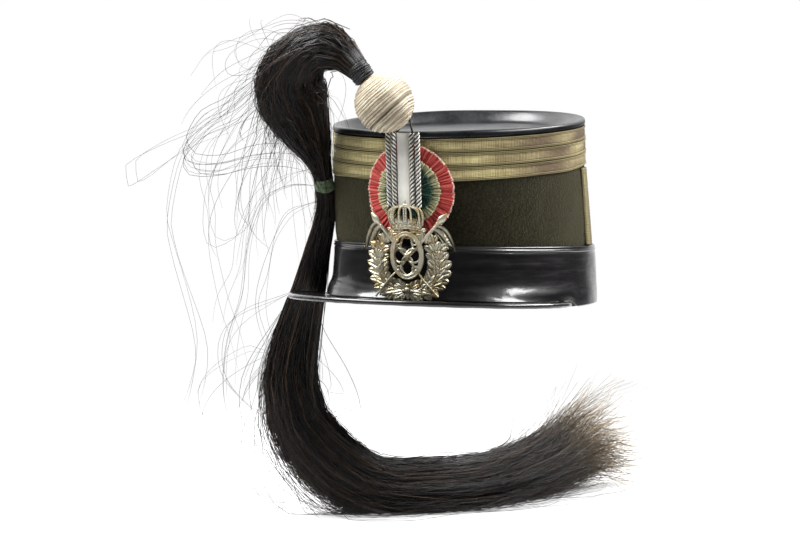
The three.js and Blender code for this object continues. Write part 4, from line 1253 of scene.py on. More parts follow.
def make_pennons():
    """A swallow-tailed pennon that hangs in folds from each lance."""
    pieces = []
    for outlines in PENNON_EDGES:
        edges = [smooth_path([(x, z, 0) for x, z in outline], 8) for outline in outlines]
        bpy.ops.mesh.primitive_grid_add(x_subdivisions=26, y_subdivisions=12, size=1)
        pennon = bpy.context.object
        painted_shade_and_tone = pennon.data.attributes.new("painted_shade_and_tone", "FLOAT", "POINT")
        for vertex in pennon.data.vertices:
            s, w = vertex.co.x + 0.5, vertex.co.y + 0.5
            notch = 1 - 0.24 * ease(s, 0.5, 1) * (1 - abs(2 * w - 1)) ** 0.9
            places = [sample(path, length, np.array(s * notch * length[-1])) for path, length in edges]
            x, z, _ = places[0] * (1 - w) + places[1] * w
            wave = sin(13 * w + 2.2 * s)
            fold = 0.8 * wave * (0.45 + 0.55 * s) + 0.12 * cos(40 * s)
            # painted shade in the hollows of the folds and along the edges, and a little darker all over, the
            # pennon's own tone
            dirt_and_shade = max(0.9 * ease(-wave, -0.3, 0.7), ease(abs(w - 0.5), 0.38, 0.5), 0.35)
            painted_shade_and_tone.data[vertex.index].value = dirt_and_shade
            vertex.co = (x, z, 2.2 + fold)
        solid = pennon.modifiers.new("body", "SOLIDIFY")
        solid.thickness = 0.5
        pieces.append(apply_modifiers(pennon))
    return pieces


CROWN_ARCHES = [
    # place of its foot, how far it bulges to the side, and half the distance between its two beaded bars
    (-9.2, -12.4, 0.8), (-7.6, -9.6, 0.7), (-3.4, -4.2, 0.4),
    (3.4, 4.2, 0.4), (7.6, 9.6, 0.7), (9.2, 12.4, 0.8),
]


def make_badge_crown(leaf):
    """The small crown over the oval: a jewelled band, leaves, beaded arches and an orb with a cross."""
    pieces = []
    foot, high, half, top = 48.0, 3.8, 9.0, 62.6
    bpy.ops.mesh.primitive_cylinder_add(vertices=40, radius=half, depth=high, end_fill_type="NOTHING")
    band = bpy.context.object
    for vertex in band.data.vertices:
        x, y, z = vertex.co
        rise = (z / high + 0.5) * high
        vertex.co = (x * (1 + 0.02 * rise), foot + rise + 1.4 - 1.6 * (x / half) ** 2, 1.5 - 0.2 * y)
    solid = band.modifiers.new("body", "SOLIDIFY")
    solid.thickness = 0.7
    pieces.append(apply_modifiers(band))

    def on_band(x, rise):
        round_out = max(0, 1 - (x / half) ** 2) ** 0.5
        return foot + rise + 1.4 - 1.6 * (x / half) ** 2, 1.7 + 0.2 * half * round_out

    for x in np.linspace(-half * 0.97, half * 0.97, 17):
        for rise in (0.3, 3.5):
            z, out = on_band(x, rise)
            pieces.append(bead(x * (1 + 0.02 * rise), z, out, 0.52))
    for i, x in enumerate(np.linspace(-7.4, 7.4, 7)):
        z, out = on_band(x, 1.9)
        pieces.append(bead(x, z, out, 0.85, 0.75))
        z, out = on_band(x, 3.4)
        pieces.append(stamp(leaf, x * 1.06, z, out - 0.1, pi / 2, (3.8 if i % 2 else 2.8, 7.4, 4.6)))
    for x, bulge, apart in CROWN_ARCHES:
        for shift in (-apart, apart):
            z, out = on_band(x, 3.8)
            knee = (bulge * (1 - abs(shift + apart) * 0.09) * 1.12, top + 1.2, out + 0.9)
            arch = bezier((x + shift * 0.6, z, out), knee, (0, top, 3.2), 26)
            pieces.append(curved_rod("arch", arch, 0.52, sides=2))
            for p in arch[1:-2:2]:
                pieces.append(bead(p[0], p[1], p[2] + 0.3, 0.42))
    for shift in (-0.75, 0.75):
        arch = np.linspace((shift, foot + high + 1.4, 3.3), (shift * 0.8, top, 3.6), 14)
        pieces.append(curved_rod("middle_arch", arch, 0.5, sides=2))
        for p in arch[1::2]:
            pieces.append(bead(p[0], p[1], p[2] + 0.35, 0.5))
    pieces += [bead(0, top + 0.7, 3.2, 1.4), bead(0, top + 2.2, 3.0, 0.5)]
    for size, x, z in (((0.5, 1.15, 0.45), 0, top + 2.7), ((1.1, 0.42, 0.45), 0, top + 2.8)):
        bpy.ops.mesh.primitive_cube_add(size=2, location=(x, z, 3.0), scale=size)
        bar = bpy.context.object
        bevel = bar.modifiers.new("edge", "BEVEL")
        bevel.width = 0.15
        bpy.ops.object.transform_apply(location=True, rotation=True, scale=True)
        pieces.append(apply_modifiers(bar))
    return pieces


def make_badge():
    """The cast badge: all its forms are joined, then bent round the crown."""
    leaf = leaf_pattern()
    pieces = make_oval() + make_lances() + make_wreath(leaf) + make_pennons() + make_badge_crown(leaf)
    bpy.data.objects.remove(leaf)
    badge = join(pieces, "badge_cast")
    mesh = badge.data
    flat = places_of(mesh)
    mark(mesh, "relief", np.clip(flat[:, 2] / 4, 0, 1))
    placed = front("badge", BADGE_X + flat[:, 0], flat[:, 1], np.maximum(flat[:, 2], 0.15)) * MM
    mesh.vertices.foreach_set("co", placed.ravel())
    mesh.update()
    bpy.context.view_layer.objects.active = badge
    badge.select_set(True)
    bpy.ops.object.mode_set(mode="EDIT")
    bpy.ops.mesh.select_all(action="SELECT")
    bpy.ops.mesh.normals_make_consistent(inside=False)
    bpy.ops.object.mode_set(mode="OBJECT")
    bpy.ops.object.shade_smooth_by_angle(angle=radians(40))
    badge.select_set(False)
    return badge


# The materials.

MM_SPOTS = (1000, 1000, 1000)  # scales a place in metres to millimetres, for patterns


def new_tree(name):
    """A material named for what it is and how it was made, and its empty node tree."""
    material = bpy.data.materials.new(name)
    material.use_nodes = True
    material.node_tree.nodes.clear()
    return material, material.node_tree


def wool_cloth():
    """Milled wool broadcloth: matt, with a short raised nap that catches light at a slant."""
    material, tree = new_tree("milled wool broadcloth")
    place = add_node(tree, "TexCoord").outputs["Object"]
    spots = add_node(tree, "Mapping", {"Vector": place, "Scale": MM_SPOTS})
    broad = add_node(tree, "TexNoise", {"Vector": spots, "Scale": 0.045, "Detail": 3})
    nap = add_node(tree, "TexNoise", {"Vector": spots, "Scale": 0.62, "Detail": 4, "Roughness": 0.7})
    faded = add_node(tree, "MapRange", {0: broad, 1: 0.3, 2: 0.7})
    raised = add_node(tree, "MapRange", {0: nap, 1: 0.42, 2: 0.68})
    tint = add_node(tree, "Mix", {0: faded, 6: colour("#14130a"), 7: colour("#1d1b0f")}, **COLOURS)
    tint = add_node(tree, "Mix", {0: raised, 6: tint, 7: colour("#2e2c1d")}, **COLOURS)
    bump = add_node(tree, "Bump", {"Height": nap, "Distance": 2.0 * MM, "Strength": 1.0})
    shader = add_node(
        tree,
        "BsdfPrincipled",
        {
            "Base Color": tint, "Roughness": 0.95, "Specular IOR Level": 0.12, "Normal": bump,
            "Sheen Weight": 0.4, "Sheen Roughness": 0.4, "Sheen Tint": colour("#a39c7c"),
        },
    )
    add_node(tree, "OutputMaterial", {"Surface": shader})
    return material


def gilt_lace(name, shade_share):
    """Woven gilt-thread lace: fine upright ribs, dull gold with brown tarnish, painted highlights on its
    raised edge cords and as pale glints, painted shade in its grooves, and a given share of painted shade
    over all of it.
    """
    material, tree = new_tree(name)
    cloth = add_node(tree, "UVMap", uv_map="unrolled")
    ribs = add_node(tree, "Mapping", {"Vector": cloth, "Scale": (1 / 1.15, 1 / 60, 1)})
    rib = add_node(
        tree,
        "TexWave",
        {"Vector": ribs, "Scale": 0.314, "Distortion": 0.8, "Detail": 1.5, "Detail Scale": 1.5},
        bands_direction="X",
    )
    wefts = add_node(tree, "Mapping", {"Vector": cloth, "Scale": (1 / 60, 1 / 0.75, 1)})
    weft = add_node(
        tree, "TexWave", {"Vector": wefts, "Scale": 0.314, "Distortion": 0.5}, bands_direction="Y"
    )
    long_spots = add_node(tree, "Mapping", {"Vector": cloth, "Scale": (1 / 26, 1 / 1.3, 1)})
    streak = add_node(tree, "TexNoise", {"Vector": long_spots, "Scale": 1, "Detail": 4, "Roughness": 0.6})
    upright_spots = add_node(tree, "Mapping", {"Vector": cloth, "Scale": (1 / 1.1, 1 / 10, 1)})
    upright = add_node(
        tree, "TexNoise", {"Vector": upright_spots, "Scale": 1, "Detail": 3, "Roughness": 0.65}
    )
    fleck_spots = add_node(tree, "Mapping", {"Vector": cloth, "Scale": (1 / 1.6, 1 / 1.2, 1)})
    fleck = add_node(tree, "TexNoise", {"Vector": fleck_spots, "Scale": 1, "Detail": 3, "Roughness": 0.7})
    place = add_node(tree, "TexCoord").outputs["Object"]
    patch = add_node(tree, "TexNoise", {"Vector": place, "Scale": 1000 / 38, "Detail": 3})
    edge = add_node(tree, "Attribute", attribute_name="edge").outputs["Fac"]
    groove = add_node(tree, "Attribute", attribute_name="groove").outputs["Fac"]
    wear_and_shade = add_node(tree, "Attribute", attribute_name="wear_and_shade").outputs["Fac"]
    greener = add_node(tree, "MapRange", {0: streak, 1: 0.32, 2: 0.68})
    tint = add_node(tree, "Mix", {0: greener, 6: colour("#a29660"), 7: colour("#d6cb98")}, **COLOURS)
    bald = add_node(tree, "MapRange", {0: upright, 1: 0.45, 2: 0.72, 4: 0.6})
    tint = add_node(tree, "Mix", {0: bald, 6: tint, 7: colour("#6e6240")}, **COLOURS)
    stain = add_node(tree, "MapRange", {0: patch, 1: 0.5, 2: 0.72, 4: 0.5})
    tint = add_node(tree, "Mix", {0: stain, 6: tint, 7: colour("#7c6844")}, **COLOURS)
    # brown tarnish on the lace; on the braid it is also painted shade, darker towards its rear edge
    tarnish_and_shade = add_node(tree, "Math", {0: wear_and_shade, 1: 0.95}, operation="MULTIPLY")
    tint = add_node(tree, "Mix", {0: tarnish_and_shade, 6: tint, 7: colour("#4a3620")}, **COLOURS)
    # painted glints: random pale flecks
    painted_glint = add_node(tree, "MapRange", {0: fleck, 1: 0.6, 2: 0.75, 4: 0.6})
    tint = add_node(tree, "Mix", {0: painted_glint, 6: tint, 7: colour("#ddd0a4")}, **COLOURS)
    # painted highlight: the raised edge cords of the lace, and the front half of the braid, painted lighter
    painted_highlight = add_node(tree, "Math", {0: edge, 1: 0.5}, operation="MULTIPLY")
    tint = add_node(tree, "Mix", {0: painted_highlight, 6: tint, 7: colour("#d8cb98")}, **COLOURS)
    # painted shade: the lace's grooves and the braid's plait hollows painted dark
    deep = add_node(tree, "MapRange", {0: groove, 1: 0.1, 2: 0.9, 4: 0.85})
    tint = add_node(tree, "Mix", {0: deep, 6: tint, 7: colour("#2a2112")}, **COLOURS)
    # painted shade over the whole colour, in the share given: the braid's material is a shaded copy of the
    # lace's
    tint = add_node(tree, "Mix", {0: shade_share, 6: tint, 7: colour("#2c2413")}, **COLOURS)
    weave = add_node(tree, "Math", {0: rib, 1: weft}, operation="ADD")
    bump = add_node(tree, "Bump", {"Height": weave, "Distance": 0.25 * MM, "Strength": 0.9})
    shader = add_node(
        tree,
        "BsdfPrincipled",
        {"Base Color": tint, "Roughness": 0.5, "Metallic": 0.35, "Specular IOR Level": 0.35, "Normal": bump},
    )
    add_node(tree, "OutputMaterial", {"Surface": shader})
    return material


def patent_leather():
    """Patent leather: black lacquer over leather, deep gloss, fine wrinkles and dull scuffs."""
    material, tree = new_tree("black patent leather")
    place = add_node(tree, "TexCoord").outputs["Object"]
    spots = add_node(tree, "Mapping", {"Vector": place, "Scale": MM_SPOTS})
    broad = add_node(tree, "TexNoise", {"Vector": spots, "Scale": 0.035, "Detail": 3})
    fine = add_node(tree, "TexNoise", {"Vector": spots, "Scale": 0.5, "Detail": 4, "Roughness": 0.6})
    rubbed = add_node(tree, "Mapping", {"Vector": spots, "Scale": (0.03, 0.03, 0.3)})
    scuff = add_node(tree, "TexNoise", {"Vector": rubbed, "Scale": 1, "Detail": 5, "Roughness": 0.7})
    swell = add_node(tree, "TexNoise", {"Vector": spots, "Scale": 0.07, "Detail": 2})
    greyer = add_node(tree, "MapRange", {0: broad, 1: 0.35, 2: 0.7})
    tint = add_node(tree, "Mix", {0: greyer, 6: colour("#080708"), 7: colour("#100d10")}, **COLOURS)
    wear_and_shade = add_node(tree, "MapRange", {0: scuff, 1: 0.52, 2: 0.78, 4: 0.6})
    tint = add_node(tree, "Mix", {0: wear_and_shade, 6: tint, 7: colour("#2c282b")}, **COLOURS)
    dull = add_node(tree, "MapRange", {0: scuff, 1: 0.3, 2: 0.8, 3: 0.25, 4: 0.6})
    waves = add_node(tree, "Bump", {"Height": swell, "Distance": 2.2 * MM, "Strength": 0.16})
    grain = add_node(tree, "Bump", {"Height": fine, "Distance": 0.12 * MM, "Strength": 0.35, "Normal": waves})
    shader = add_node(
        tree,
        "BsdfPrincipled",
        {
            "Base Color": tint, "Roughness": dull, "Specular IOR Level": 0.25, "Normal": grain,
            "Coat Weight": 0.9, "Coat Roughness": 0.13, "Coat Normal": grain,
        },
    )
    add_node(tree, "OutputMaterial", {"Surface": shader})
    return material


def top_lacquer():
    """Lacquered leather top: black with a grey bloom of age, fine craze and a worn, softer gloss."""
    material, tree = new_tree("lacquered leather top")
    place = add_node(tree, "TexCoord").outputs["Object"]
    spots = add_node(tree, "Mapping", {"Vector": place, "Scale": MM_SPOTS})
    bloom = add_node(tree, "TexNoise", {"Vector": spots, "Scale": 0.06, "Detail": 5, "Roughness": 0.6})
    grain = add_node(tree, "TexNoise", {"Vector": spots, "Scale": 0.9, "Detail": 3, "Roughness": 0.6})
    craze = add_node(tree, "TexVoronoi", {"Vector": spots, "Scale": 0.22}, feature="DISTANCE_TO_EDGE")
    aged = add_node(tree, "MapRange", {0: bloom, 1: 0.38, 2: 0.7})
    tint = add_node(tree, "Mix", {0: aged, 6: colour("#0a0b0c"), 7: colour("#1b1d1f")}, **COLOURS)
    cracked = add_node(tree, "MapRange", {0: craze, 1: 0.05, 2: 0.0, 4: 0.35})
    tint = add_node(tree, "Mix", {0: cracked, 6: tint, 7: colour("#303334")}, **COLOURS)
    dull = add_node(tree, "MapRange", {0: bloom, 1: 0.3, 2: 0.75, 3: 0.3, 4: 0.5})
    fine = add_node(tree, "Bump", {"Height": grain, "Distance": 0.15 * MM, "Strength": 0.4})
    plates = add_node(tree, "MapRange", {0: craze, 1: 0.0, 2: 0.06})
    bump = add_node(tree, "Bump", {"Height": plates, "Distance": 0.12 * MM, "Strength": 0.3, "Normal": fine})
    rim = add_node(tree, "Attribute", attribute_name="rim").outputs["Fac"]
    gloss = add_node(tree, "MapRange", {0: rim, 1: 0.0, 2: 1.0, 3: 0.55, 4: 0.05})
    shine = add_node(tree, "MapRange", {0: rim, 1: 0.0, 2: 1.0, 3: 0.4, 4: 0.12})
    shader = add_node(
        tree,
        "BsdfPrincipled",
        {
            "Base Color": tint, "Roughness": dull, "Specular IOR Level": shine, "Normal": bump,
            "Coat Weight": gloss, "Coat Roughness": 0.22,
        },
    )
    add_node(tree, "OutputMaterial", {"Surface": shader})
    return material


def pleated_silk(name, dark, mid, pale, frayed, blotch, core, border, core_reach):
    """Silk ribbon pressed into pleats: painted shade in the folds, streaked and blotched with age, pale where
    its edge frays, and darker at its core, by the ribbon inside it."""
    material, tree = new_tree(name)
    fold = add_node(tree, "Attribute", attribute_name="fold").outputs["Fac"]
    reach = add_node(tree, "Attribute", attribute_name="reach").outputs["Fac"]
    streak = add_node(tree, "Attribute", attribute_name="streak").outputs["Fac"]
    place = add_node(tree, "TexCoord").outputs["Object"]
    spots = add_node(tree, "Mapping", {"Vector": place, "Scale": MM_SPOTS})
    fleck = add_node(tree, "TexNoise", {"Vector": spots, "Scale": 0.6, "Detail": 4, "Roughness": 0.65})
    patch = add_node(tree, "TexNoise", {"Vector": spots, "Scale": 0.13, "Detail": 3})
    # painted shade: the folds of the pleats painted dark, their crests lighter
    crest = add_node(tree, "MapRange", {0: fold, 1: 0.1, 2: 0.75})
    tint = add_node(tree, "Mix", {0: crest, 6: dark, 7: mid}, **COLOURS)
    stripe = add_node(tree, "MapRange", {0: streak, 1: 0.5, 2: 0.95, 4: 0.6})
    tint = add_node(tree, "Mix", {0: stripe, 6: tint, 7: pale}, **COLOURS)
    low = add_node(tree, "MapRange", {0: streak, 1: 0.45, 2: 0.08, 4: 0.6})
    tint = add_node(tree, "Mix", {0: low, 6: tint, 7: dark}, **COLOURS)
    stain = add_node(tree, "MapRange", {0: patch, 1: 0.5, 2: 0.7, 4: 0.75})
    tint = add_node(tree, "Mix", {0: stain, 6: tint, 7: blotch}, **COLOURS)
    bare = add_node(tree, "MapRange", {0: fleck, 1: 0.54, 2: 0.74, 4: 0.45})
    tint = add_node(tree, "Mix", {0: bare, 6: tint, 7: pale}, **COLOURS)
    ragged = add_node(tree, "MapRange", {0: fleck, 1: 0.3, 2: 0.7, 3: -border, 4: border})
    out = add_node(tree, "Math", {0: reach, 1: ragged}, operation="ADD")
    jagged = add_node(tree, "MapRange", {0: streak, 1: 0.2, 2: 0.8, 3: -0.1, 4: 0.1})
    middle = add_node(tree, "Math", {0: reach, 1: jagged}, operation="ADD")
    inner = add_node(tree, "MapRange", {0: middle, 1: core_reach + 0.12, 2: core_reach - 0.05, 4: 0.92})
    tint = add_node(tree, "Mix", {0: inner, 6: tint, 7: core}, **COLOURS)
    rim = add_node(tree, "MapRange", {0: out, 1: 1 - 0.8 * border, 2: 1.0, 4: 0.9})
    tint = add_node(tree, "Mix", {0: rim, 6: tint, 7: frayed}, **COLOURS)
    cloth = add_node(tree, "UVMap", uv_map="unrolled")
    threads = add_node(tree, "Mapping", {"Vector": cloth, "Scale": (1 / 0.8, 1 / 40, 1)})
    rib = add_node(
        tree, "TexWave", {"Vector": threads, "Scale": 0.314, "Distortion": 0.5}, bands_direction="X"
    )
    bump = add_node(tree, "Bump", {"Height": rib, "Distance": 0.18 * MM, "Strength": 0.7})
    shader = add_node(
        tree,
        "BsdfPrincipled",
        {
            "Base Color": tint, "Roughness": 0.62, "Specular IOR Level": 0.3, "Normal": bump,
            "Sheen Weight": 0.2, "Sheen Roughness": 0.4,
        },
    )
    add_node(tree, "OutputMaterial", {"Surface": shader})
    return material


def grey_ribbon():
    """Silk ribbon, greyed with age: a soft sheen, faint ribs, water marks, and browner towards one edge."""
    material, tree = new_tree("grey silk ribbon")
    place = add_node(tree, "TexCoord").outputs["Object"]
    patch = add_node(tree, "TexNoise", {"Vector": place, "Scale": 1000 / 9, "Detail": 3, "Roughness": 0.5})
    watered = add_node(tree, "MapRange", {0: patch, 1: 0.34, 2: 0.68})
    tint = add_node(tree, "Mix", {0: watered, 6: colour("#e0dfd7"), 7: colour("#f0efe8")}, **COLOURS)
    cloth = add_node(tree, "UVMap", uv_map="unrolled")
    side = add_node(tree, "SeparateXYZ", {0: cloth}).outputs["Y"]
    browner = add_node(tree, "MapRange", {0: side, 1: 4.5, 2: 7.4, 4: 0.55})
    tint = add_node(tree, "Mix", {0: browner, 6: tint, 7: colour("#a89c84")}, **COLOURS)
    threads = add_node(tree, "Mapping", {"Vector": cloth, "Scale": (1 / 0.7, 1 / 40, 1)})
    rib = add_node(tree, "TexWave", {"Vector": threads, "Scale": 0.314}, bands_direction="X")
    bump = add_node(tree, "Bump", {"Height": rib, "Distance": 0.08 * MM, "Strength": 0.5})
    shader = add_node(
        tree,
        "BsdfPrincipled",
        {
            "Base Color": tint, "Roughness": 0.5, "Specular IOR Level": 0.4, "Normal": bump,
            "Sheen Weight": 0.2, "Sheen Roughness": 0.35,
        },
    )
    add_node(tree, "OutputMaterial", {"Surface": shader})
    return material


def silver_thread():
    """Drawn silver thread laid into cord: bright on its crests, almost black between the strands, where its
    tarnish is darkened further as painted shade.
    """
    material, tree = new_tree("drawn silver thread")
    place = add_node(tree, "TexCoord").outputs["Object"]
    spots = add_node(tree, "Mapping", {"Vector": place, "Scale": MM_SPOTS})
    tarnish_and_shade = add_node(tree, "TexNoise", {"Vector": spots, "Scale": 0.3, "Detail": 3, "Roughness": 0.6})
    fibre = add_node(tree, "TexNoise", {"Vector": spots, "Scale": 2.6, "Detail": 2})
    crest = add_node(tree, "Attribute", attribute_name="crest").outputs["Fac"]
    brown = add_node(tree, "MapRange", {0: tarnish_and_shade, 1: 0.38, 2: 0.72})
    tint = add_node(tree, "Mix", {0: brown, 6: colour("#fbf9f4"), 7: colour("#d2c9bc")}, **COLOURS)
    # almost black between the strands: tarnish, darkened further as painted shade
    hollow = add_node(tree, "MapRange", {0: crest, 1: 1.0, 2: 0.8})
    tint = add_node(tree, "Mix", {0: hollow, 6: tint, 7: colour("#1c1712")}, **COLOURS)
    bump = add_node(tree, "Bump", {"Height": fibre, "Distance": 0.12 * MM, "Strength": 0.5})
    shader = add_node(
        tree, "BsdfPrincipled", {"Base Color": tint, "Metallic": 0.45, "Roughness": 0.36, "Normal": bump}
    )
    add_node(tree, "OutputMaterial", {"Surface": shader})
    return material


def cast_silvered_brass():
    """Cast brass, silvered: dull and olive with age, rubbed warmer here and there, black in its hollows, with
    painted shade along the leaves' margins and in the pennons' folds.
    """
    material, tree = new_tree("cast silvered brass")
    relief = add_node(tree, "Attribute", attribute_name="relief").outputs["Fac"]
    place = add_node(tree, "TexCoord").outputs["Object"]
    spots = add_node(tree, "Mapping", {"Vector": place, "Scale": MM_SPOTS})
    rub = add_node(tree, "TexNoise", {"Vector": spots, "Scale": 0.14, "Detail": 3})
    pit = add_node(tree, "TexNoise", {"Vector": spots, "Scale": 1.0, "Detail": 4, "Roughness": 0.6})
    warm = add_node(tree, "MapRange", {0: rub, 1: 0.42, 2: 0.66})
    tint = add_node(tree, "Mix", {0: warm, 6: colour("#cbc6b2"), 7: colour("#b8a67e")}, **COLOURS)
    dirt_and_shade = add_node(tree, "MapRange", {0: pit, 1: 0.3, 2: 0.7, 3: -0.2, 4: 0.2})
    high = add_node(tree, "Math", {0: relief, 1: dirt_and_shade}, operation="ADD")
    hollow = add_node(tree, "MapRange", {0: high, 1: 0.6, 2: 0.28})
    tint = add_node(tree, "Mix", {0: hollow, 6: tint, 7: colour("#26221a")}, **COLOURS)
    # painted shade along the leaves' margins and in the pennons' folds; the pennons are also a little darker
    # all over
    painted_shade_and_tone = add_node(tree, "Attribute", attribute_name="painted_shade_and_tone").outputs["Fac"]
    tint = add_node(tree, "Mix", {0: painted_shade_and_tone, 6: tint, 7: colour("#2a251b")}, **COLOURS)
    rough = add_node(tree, "MapRange", {0: pit, 1: 0.3, 2: 0.7, 3: 0.38, 4: 0.58})
    bump = add_node(tree, "Bump", {"Height": pit, "Distance": 0.2 * MM, "Strength": 0.6})
    shader = add_node(
        tree, "BsdfPrincipled", {"Base Color": tint, "Metallic": 0.9, "Roughness": rough, "Normal": bump}
    )
    add_node(tree, "OutputMaterial", {"Surface": shader})
    return material


def wound_cord():
    """Cream silk and silver cord wound tight: pale crests, painted shade in brown between the turns and in
    the grooves, some dark threads.
    """
    material, tree = new_tree("wound silver and cream cord")
    groove = add_node(tree, "Attribute", attribute_name="groove").outputs["Fac"]
    thread = add_node(tree, "Attribute", attribute_name="thread").outputs["Fac"]
    place = add_node(tree, "TexCoord").outputs["Object"]
    spots = add_node(tree, "Mapping", {"Vector": place, "Scale": MM_SPOTS})
    patch = add_node(tree, "TexNoise", {"Vector": spots, "Scale": 0.09, "Detail": 3})
    fleck = add_node(tree, "TexNoise", {"Vector": spots, "Scale": 0.8, "Detail": 4, "Roughness": 0.7})
    aged = add_node(tree, "MapRange", {0: patch, 1: 0.35, 2: 0.7})
    tint = add_node(tree, "Mix", {0: aged, 6: colour("#dcd0b8"), 7: colour("#aa9d86")}, **COLOURS)
    # painted shade between the turns of the cord
    shade_between_turns = add_node(tree, "MapRange", {0: thread, 1: 0.5, 2: 0.0, 4: 0.7})
    tint = add_node(tree, "Mix", {0: shade_between_turns, 6: tint, 7: colour("#5a4c38")}, **COLOURS)
    pale = add_node(tree, "MapRange", {0: fleck, 1: 0.52, 2: 0.72, 4: 0.6})
    tint = add_node(tree, "Mix", {0: pale, 6: tint, 7: colour("#d8cfbd")}, **COLOURS)
    dark = add_node(tree, "MapRange", {0: fleck, 1: 0.42, 2: 0.28, 4: 0.6})
    tint = add_node(tree, "Mix", {0: dark, 6: tint, 7: colour("#55493a")}, **COLOURS)
    # painted shade in the ball's grooves
    deep = add_node(tree, "MapRange", {0: groove, 1: 0.2, 2: 0.9, 4: 0.7})
    tint = add_node(tree, "Mix", {0: deep, 6: tint, 7: colour("#33281a")}, **COLOURS)
    bump = add_node(tree, "Bump", {"Height": fleck, "Distance": 0.25 * MM, "Strength": 0.6})
    shader = add_node(
        tree,
        "BsdfPrincipled",
        {"Base Color": tint, "Roughness": 0.55, "Metallic": 0.1, "Specular IOR Level": 0.35, "Normal": bump},
    )
    add_node(tree, "OutputMaterial", {"Surface": shader})
    return material


def dark_steel():
    """Iron wire with a dull brown skin of old lacquer."""
    material, tree = new_tree("lacquered steel wire")
    place = add_node(tree, "TexCoord").outputs["Object"]
    skin = add_node(tree, "TexNoise", {"Vector": place, "Scale": 500, "Detail": 3})
    aged = add_node(tree, "MapRange", {0: skin, 1: 0.35, 2: 0.7})
    tint = add_node(tree, "Mix", {0: aged, 6: colour("#1d1a17"), 7: colour("#3b332b")}, **COLOURS)
    rough = add_node(tree, "MapRange", {0: skin, 1: 0.3, 2: 0.7, 3: 0.35, 4: 0.6})
    shader = add_node(tree, "BsdfPrincipled", {"Base Color": tint, "Metallic": 0.8, "Roughness": rough})
    add_node(tree, "OutputMaterial", {"Surface": shader})
    return material


def horsehair():
    """Horsehair: near black with a soft gloss, some hairs brown, faded to straw at the old tips."""
    material, tree = new_tree("dyed horsehair")
    age = add_node(tree, "Attribute", attribute_name="age").outputs["Fac"]
    tone = add_node(tree, "Attribute", attribute_name="tone").outputs["Fac"]
    tint = add_node(tree, "Mix", {0: tone, 6: colour("#070606"), 7: colour("#171210")}, **COLOURS)
    faded = add_node(tree, "MapRange", {0: tone, 1: 0.74, 2: 0.98, 4: 0.9})
    tint = add_node(tree, "Mix", {0: faded, 6: tint, 7: colour("#4d3a2b")}, **COLOURS)
    tip = add_node(tree, "Mix", {0: tone, 6: colour("#46341f"), 7: colour("#cdb382")}, **COLOURS)
    whole = add_node(tree, "Mix", {0: age, 6: tint, 7: tip}, **COLOURS)
    shader = add_node(
        tree, "BsdfPrincipled", {"Base Color": whole, "Roughness": 0.33, "Specular IOR Level": 0.36}
    )
    add_node(tree, "OutputMaterial", {"Surface": shader})
    return material


def waxed_thread():
    """Black waxed linen thread: dull, with a slight shine on the turns."""
    material, tree = new_tree("waxed linen thread")
    place = add_node(tree, "TexCoord").outputs["Object"]
    fibre = add_node(tree, "TexNoise", {"Vector": place, "Scale": 1600, "Detail": 3})
    tint = add_node(tree, "Mix", {0: fibre, 6: colour("#0b0b0d"), 7: colour("#26262a")}, **COLOURS)
    bump = add_node(tree, "Bump", {"Height": fibre, "Distance": 0.12 * MM, "Strength": 0.6})
    shader = add_node(tree, "BsdfPrincipled", {"Base Color": tint, "Roughness": 0.42, "Normal": bump})
    add_node(tree, "OutputMaterial", {"Surface": shader})
    return material


def cotton_tape():
    """Green cotton tape, tabby weave, faded."""
    material, tree = new_tree("green cotton tape")
    place = add_node(tree, "TexCoord").outputs["Object"]
    patch = add_node(tree, "TexNoise", {"Vector": place, "Scale": 1000 / 3, "Detail": 3})
    faded = add_node(tree, "MapRange", {0: patch, 1: 0.3, 2: 0.7})
    tint = add_node(tree, "Mix", {0: faded, 6: colour("#4c6446"), 7: colour("#7d9069")}, **COLOURS)
    cloth = add_node(tree, "UVMap", uv_map="unrolled")
    threads = add_node(tree, "Mapping", {"Vector": cloth, "Scale": (1 / 0.8, 1 / 40, 1)})
    rib = add_node(tree, "TexWave", {"Vector": threads, "Scale": 0.314}, bands_direction="X")
    bump = add_node(tree, "Bump", {"Height": rib, "Distance": 0.2 * MM, "Strength": 0.6})
    shader = add_node(
        tree, "BsdfPrincipled", {"Base Color": tint, "Roughness": 0.88, "Sheen Weight": 0.2, "Normal": bump}
    )
    add_node(tree, "OutputMaterial", {"Surface": shader})
    return material


# The object.

add_camera()
add_world()
add_floor()
add_softbox("right softbox", 114, 42, 1.7, 1.9, 0.6, 78)
add_softbox("left fill", -118, 26, 2.0, 1.8, 1.6, 8)
add_softbox("left softbox", -64, 52, 1.9, 1.8, 1.2, 112)

dress(make_cloth(), wool_cloth(), "cloth", "crown_body")
leather = patent_leather()
dress(make_band(), leather, "leather", "leather_band")
dress(make_peak(), leather, "leather", "peak")
dress(make_peak_edge(), leather, "leather", "peak_binding")
dress(make_top(), top_lacquer(), "top_leather", "top_leather")

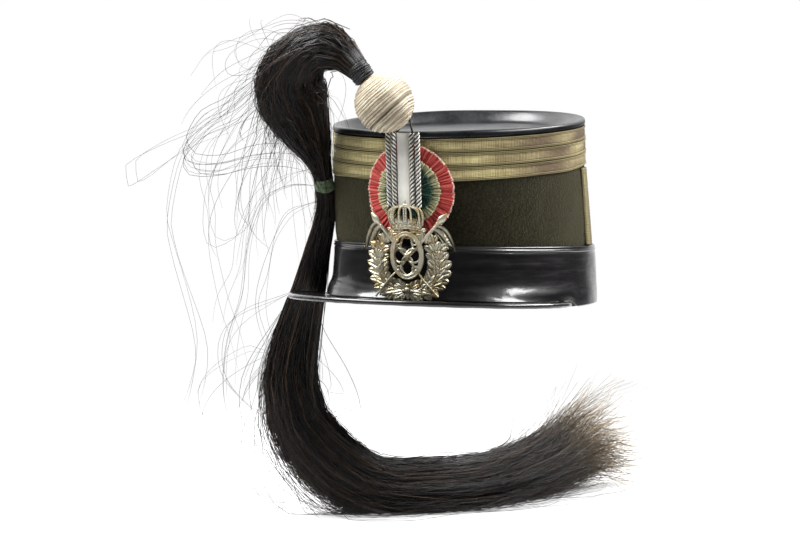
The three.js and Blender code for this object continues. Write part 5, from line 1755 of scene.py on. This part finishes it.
lace = gilt_lace("woven gilt lace", 0.0)
for number, node in enumerate(("lace_lower", "lace_middle", "lace_upper")):
    dress(make_lace(number), lace, "lace", node)
# the braid: the lace's material with painted shade over half of its colour
braid = gilt_lace("plaited gilt braid", 0.5)
dress(make_side_braid(-1, "braid_right_plaited"), braid, "lace", "side_braid_right")
dress(make_side_braid(1, "braid_left_plaited"), braid, "lace", "side_braid_left")

SILKS = {
    # name: colours of the folds (painted shade), crests, streaks, frayed edge, blotches and core, reach of
    # the edge and core
    "green": ("#04100d", "#10402f", "#2c7157", "#4f7a5a", "#04140f", "#061712", 0.06, 0.3),
    "white": ("#60643e", "#bab48c", "#e4dcb4", "#d8d0a8", "#969a6e", "#17442f", 0.1, 0.6),
    "red": ("#88201b", "#cc423d", "#e2786e", "#f0d8c2", "#ac302c", "#8c1f1c", 0.1, 0.1),
}
for row in COCKADE_RIBBONS:
    *shades, border, core_reach = SILKS[row[0]]
    silk = pleated_silk(f"pleated {row[0]} silk", *[colour(shade) for shade in shades], border, core_reach)
    dress(make_cockade(*row), silk, f"cockade_{row[0]}", f"cockade_{row[0]}")

dress(make_loop_ribbon(), grey_ribbon(), "silver_ribbon", "loop_ribbon")
silver = silver_thread()
for number in range(4):
    dress(make_loop_cord(number), silver, "silver_cord", f"loop_cord_{number + 1}")

dress(make_badge(), cast_silvered_brass(), "badge_metal", "badge")
dress(make_ball(), wound_cord(), "ball_cord", "pompon_ball")
dress(make_wire(), dark_steel(), "wire", "pompon_wire")
dress(make_binding(), waxed_thread(), "thread", "plume_binding")
dress(make_tie(), cotton_tape(), "tie", "plume_tie")

hair = horsehair()
for number in range(4):
    dress(make_hair(f"plume_hair_{number + 1}", 560, 100 + number, 0.26), hair, "hair", "plume")
loose_hair = make_surface_hair("plume_hair_loose", 620, 210, 0.15, LOOSE_SPANS, 1.1, 1.3, 2.6)
dress(loose_hair, hair, "hair", "plume")
dress(make_surface_hair("plume_hair_veil", 560, 220, 0.17, VEIL_SPANS, 0.3, 5.5, 0.8), hair, "hair", "plume")
dress(make_strays(), hair, "hair", "plume")

bpy.context.scene.view_settings.view_transform = "Standard"
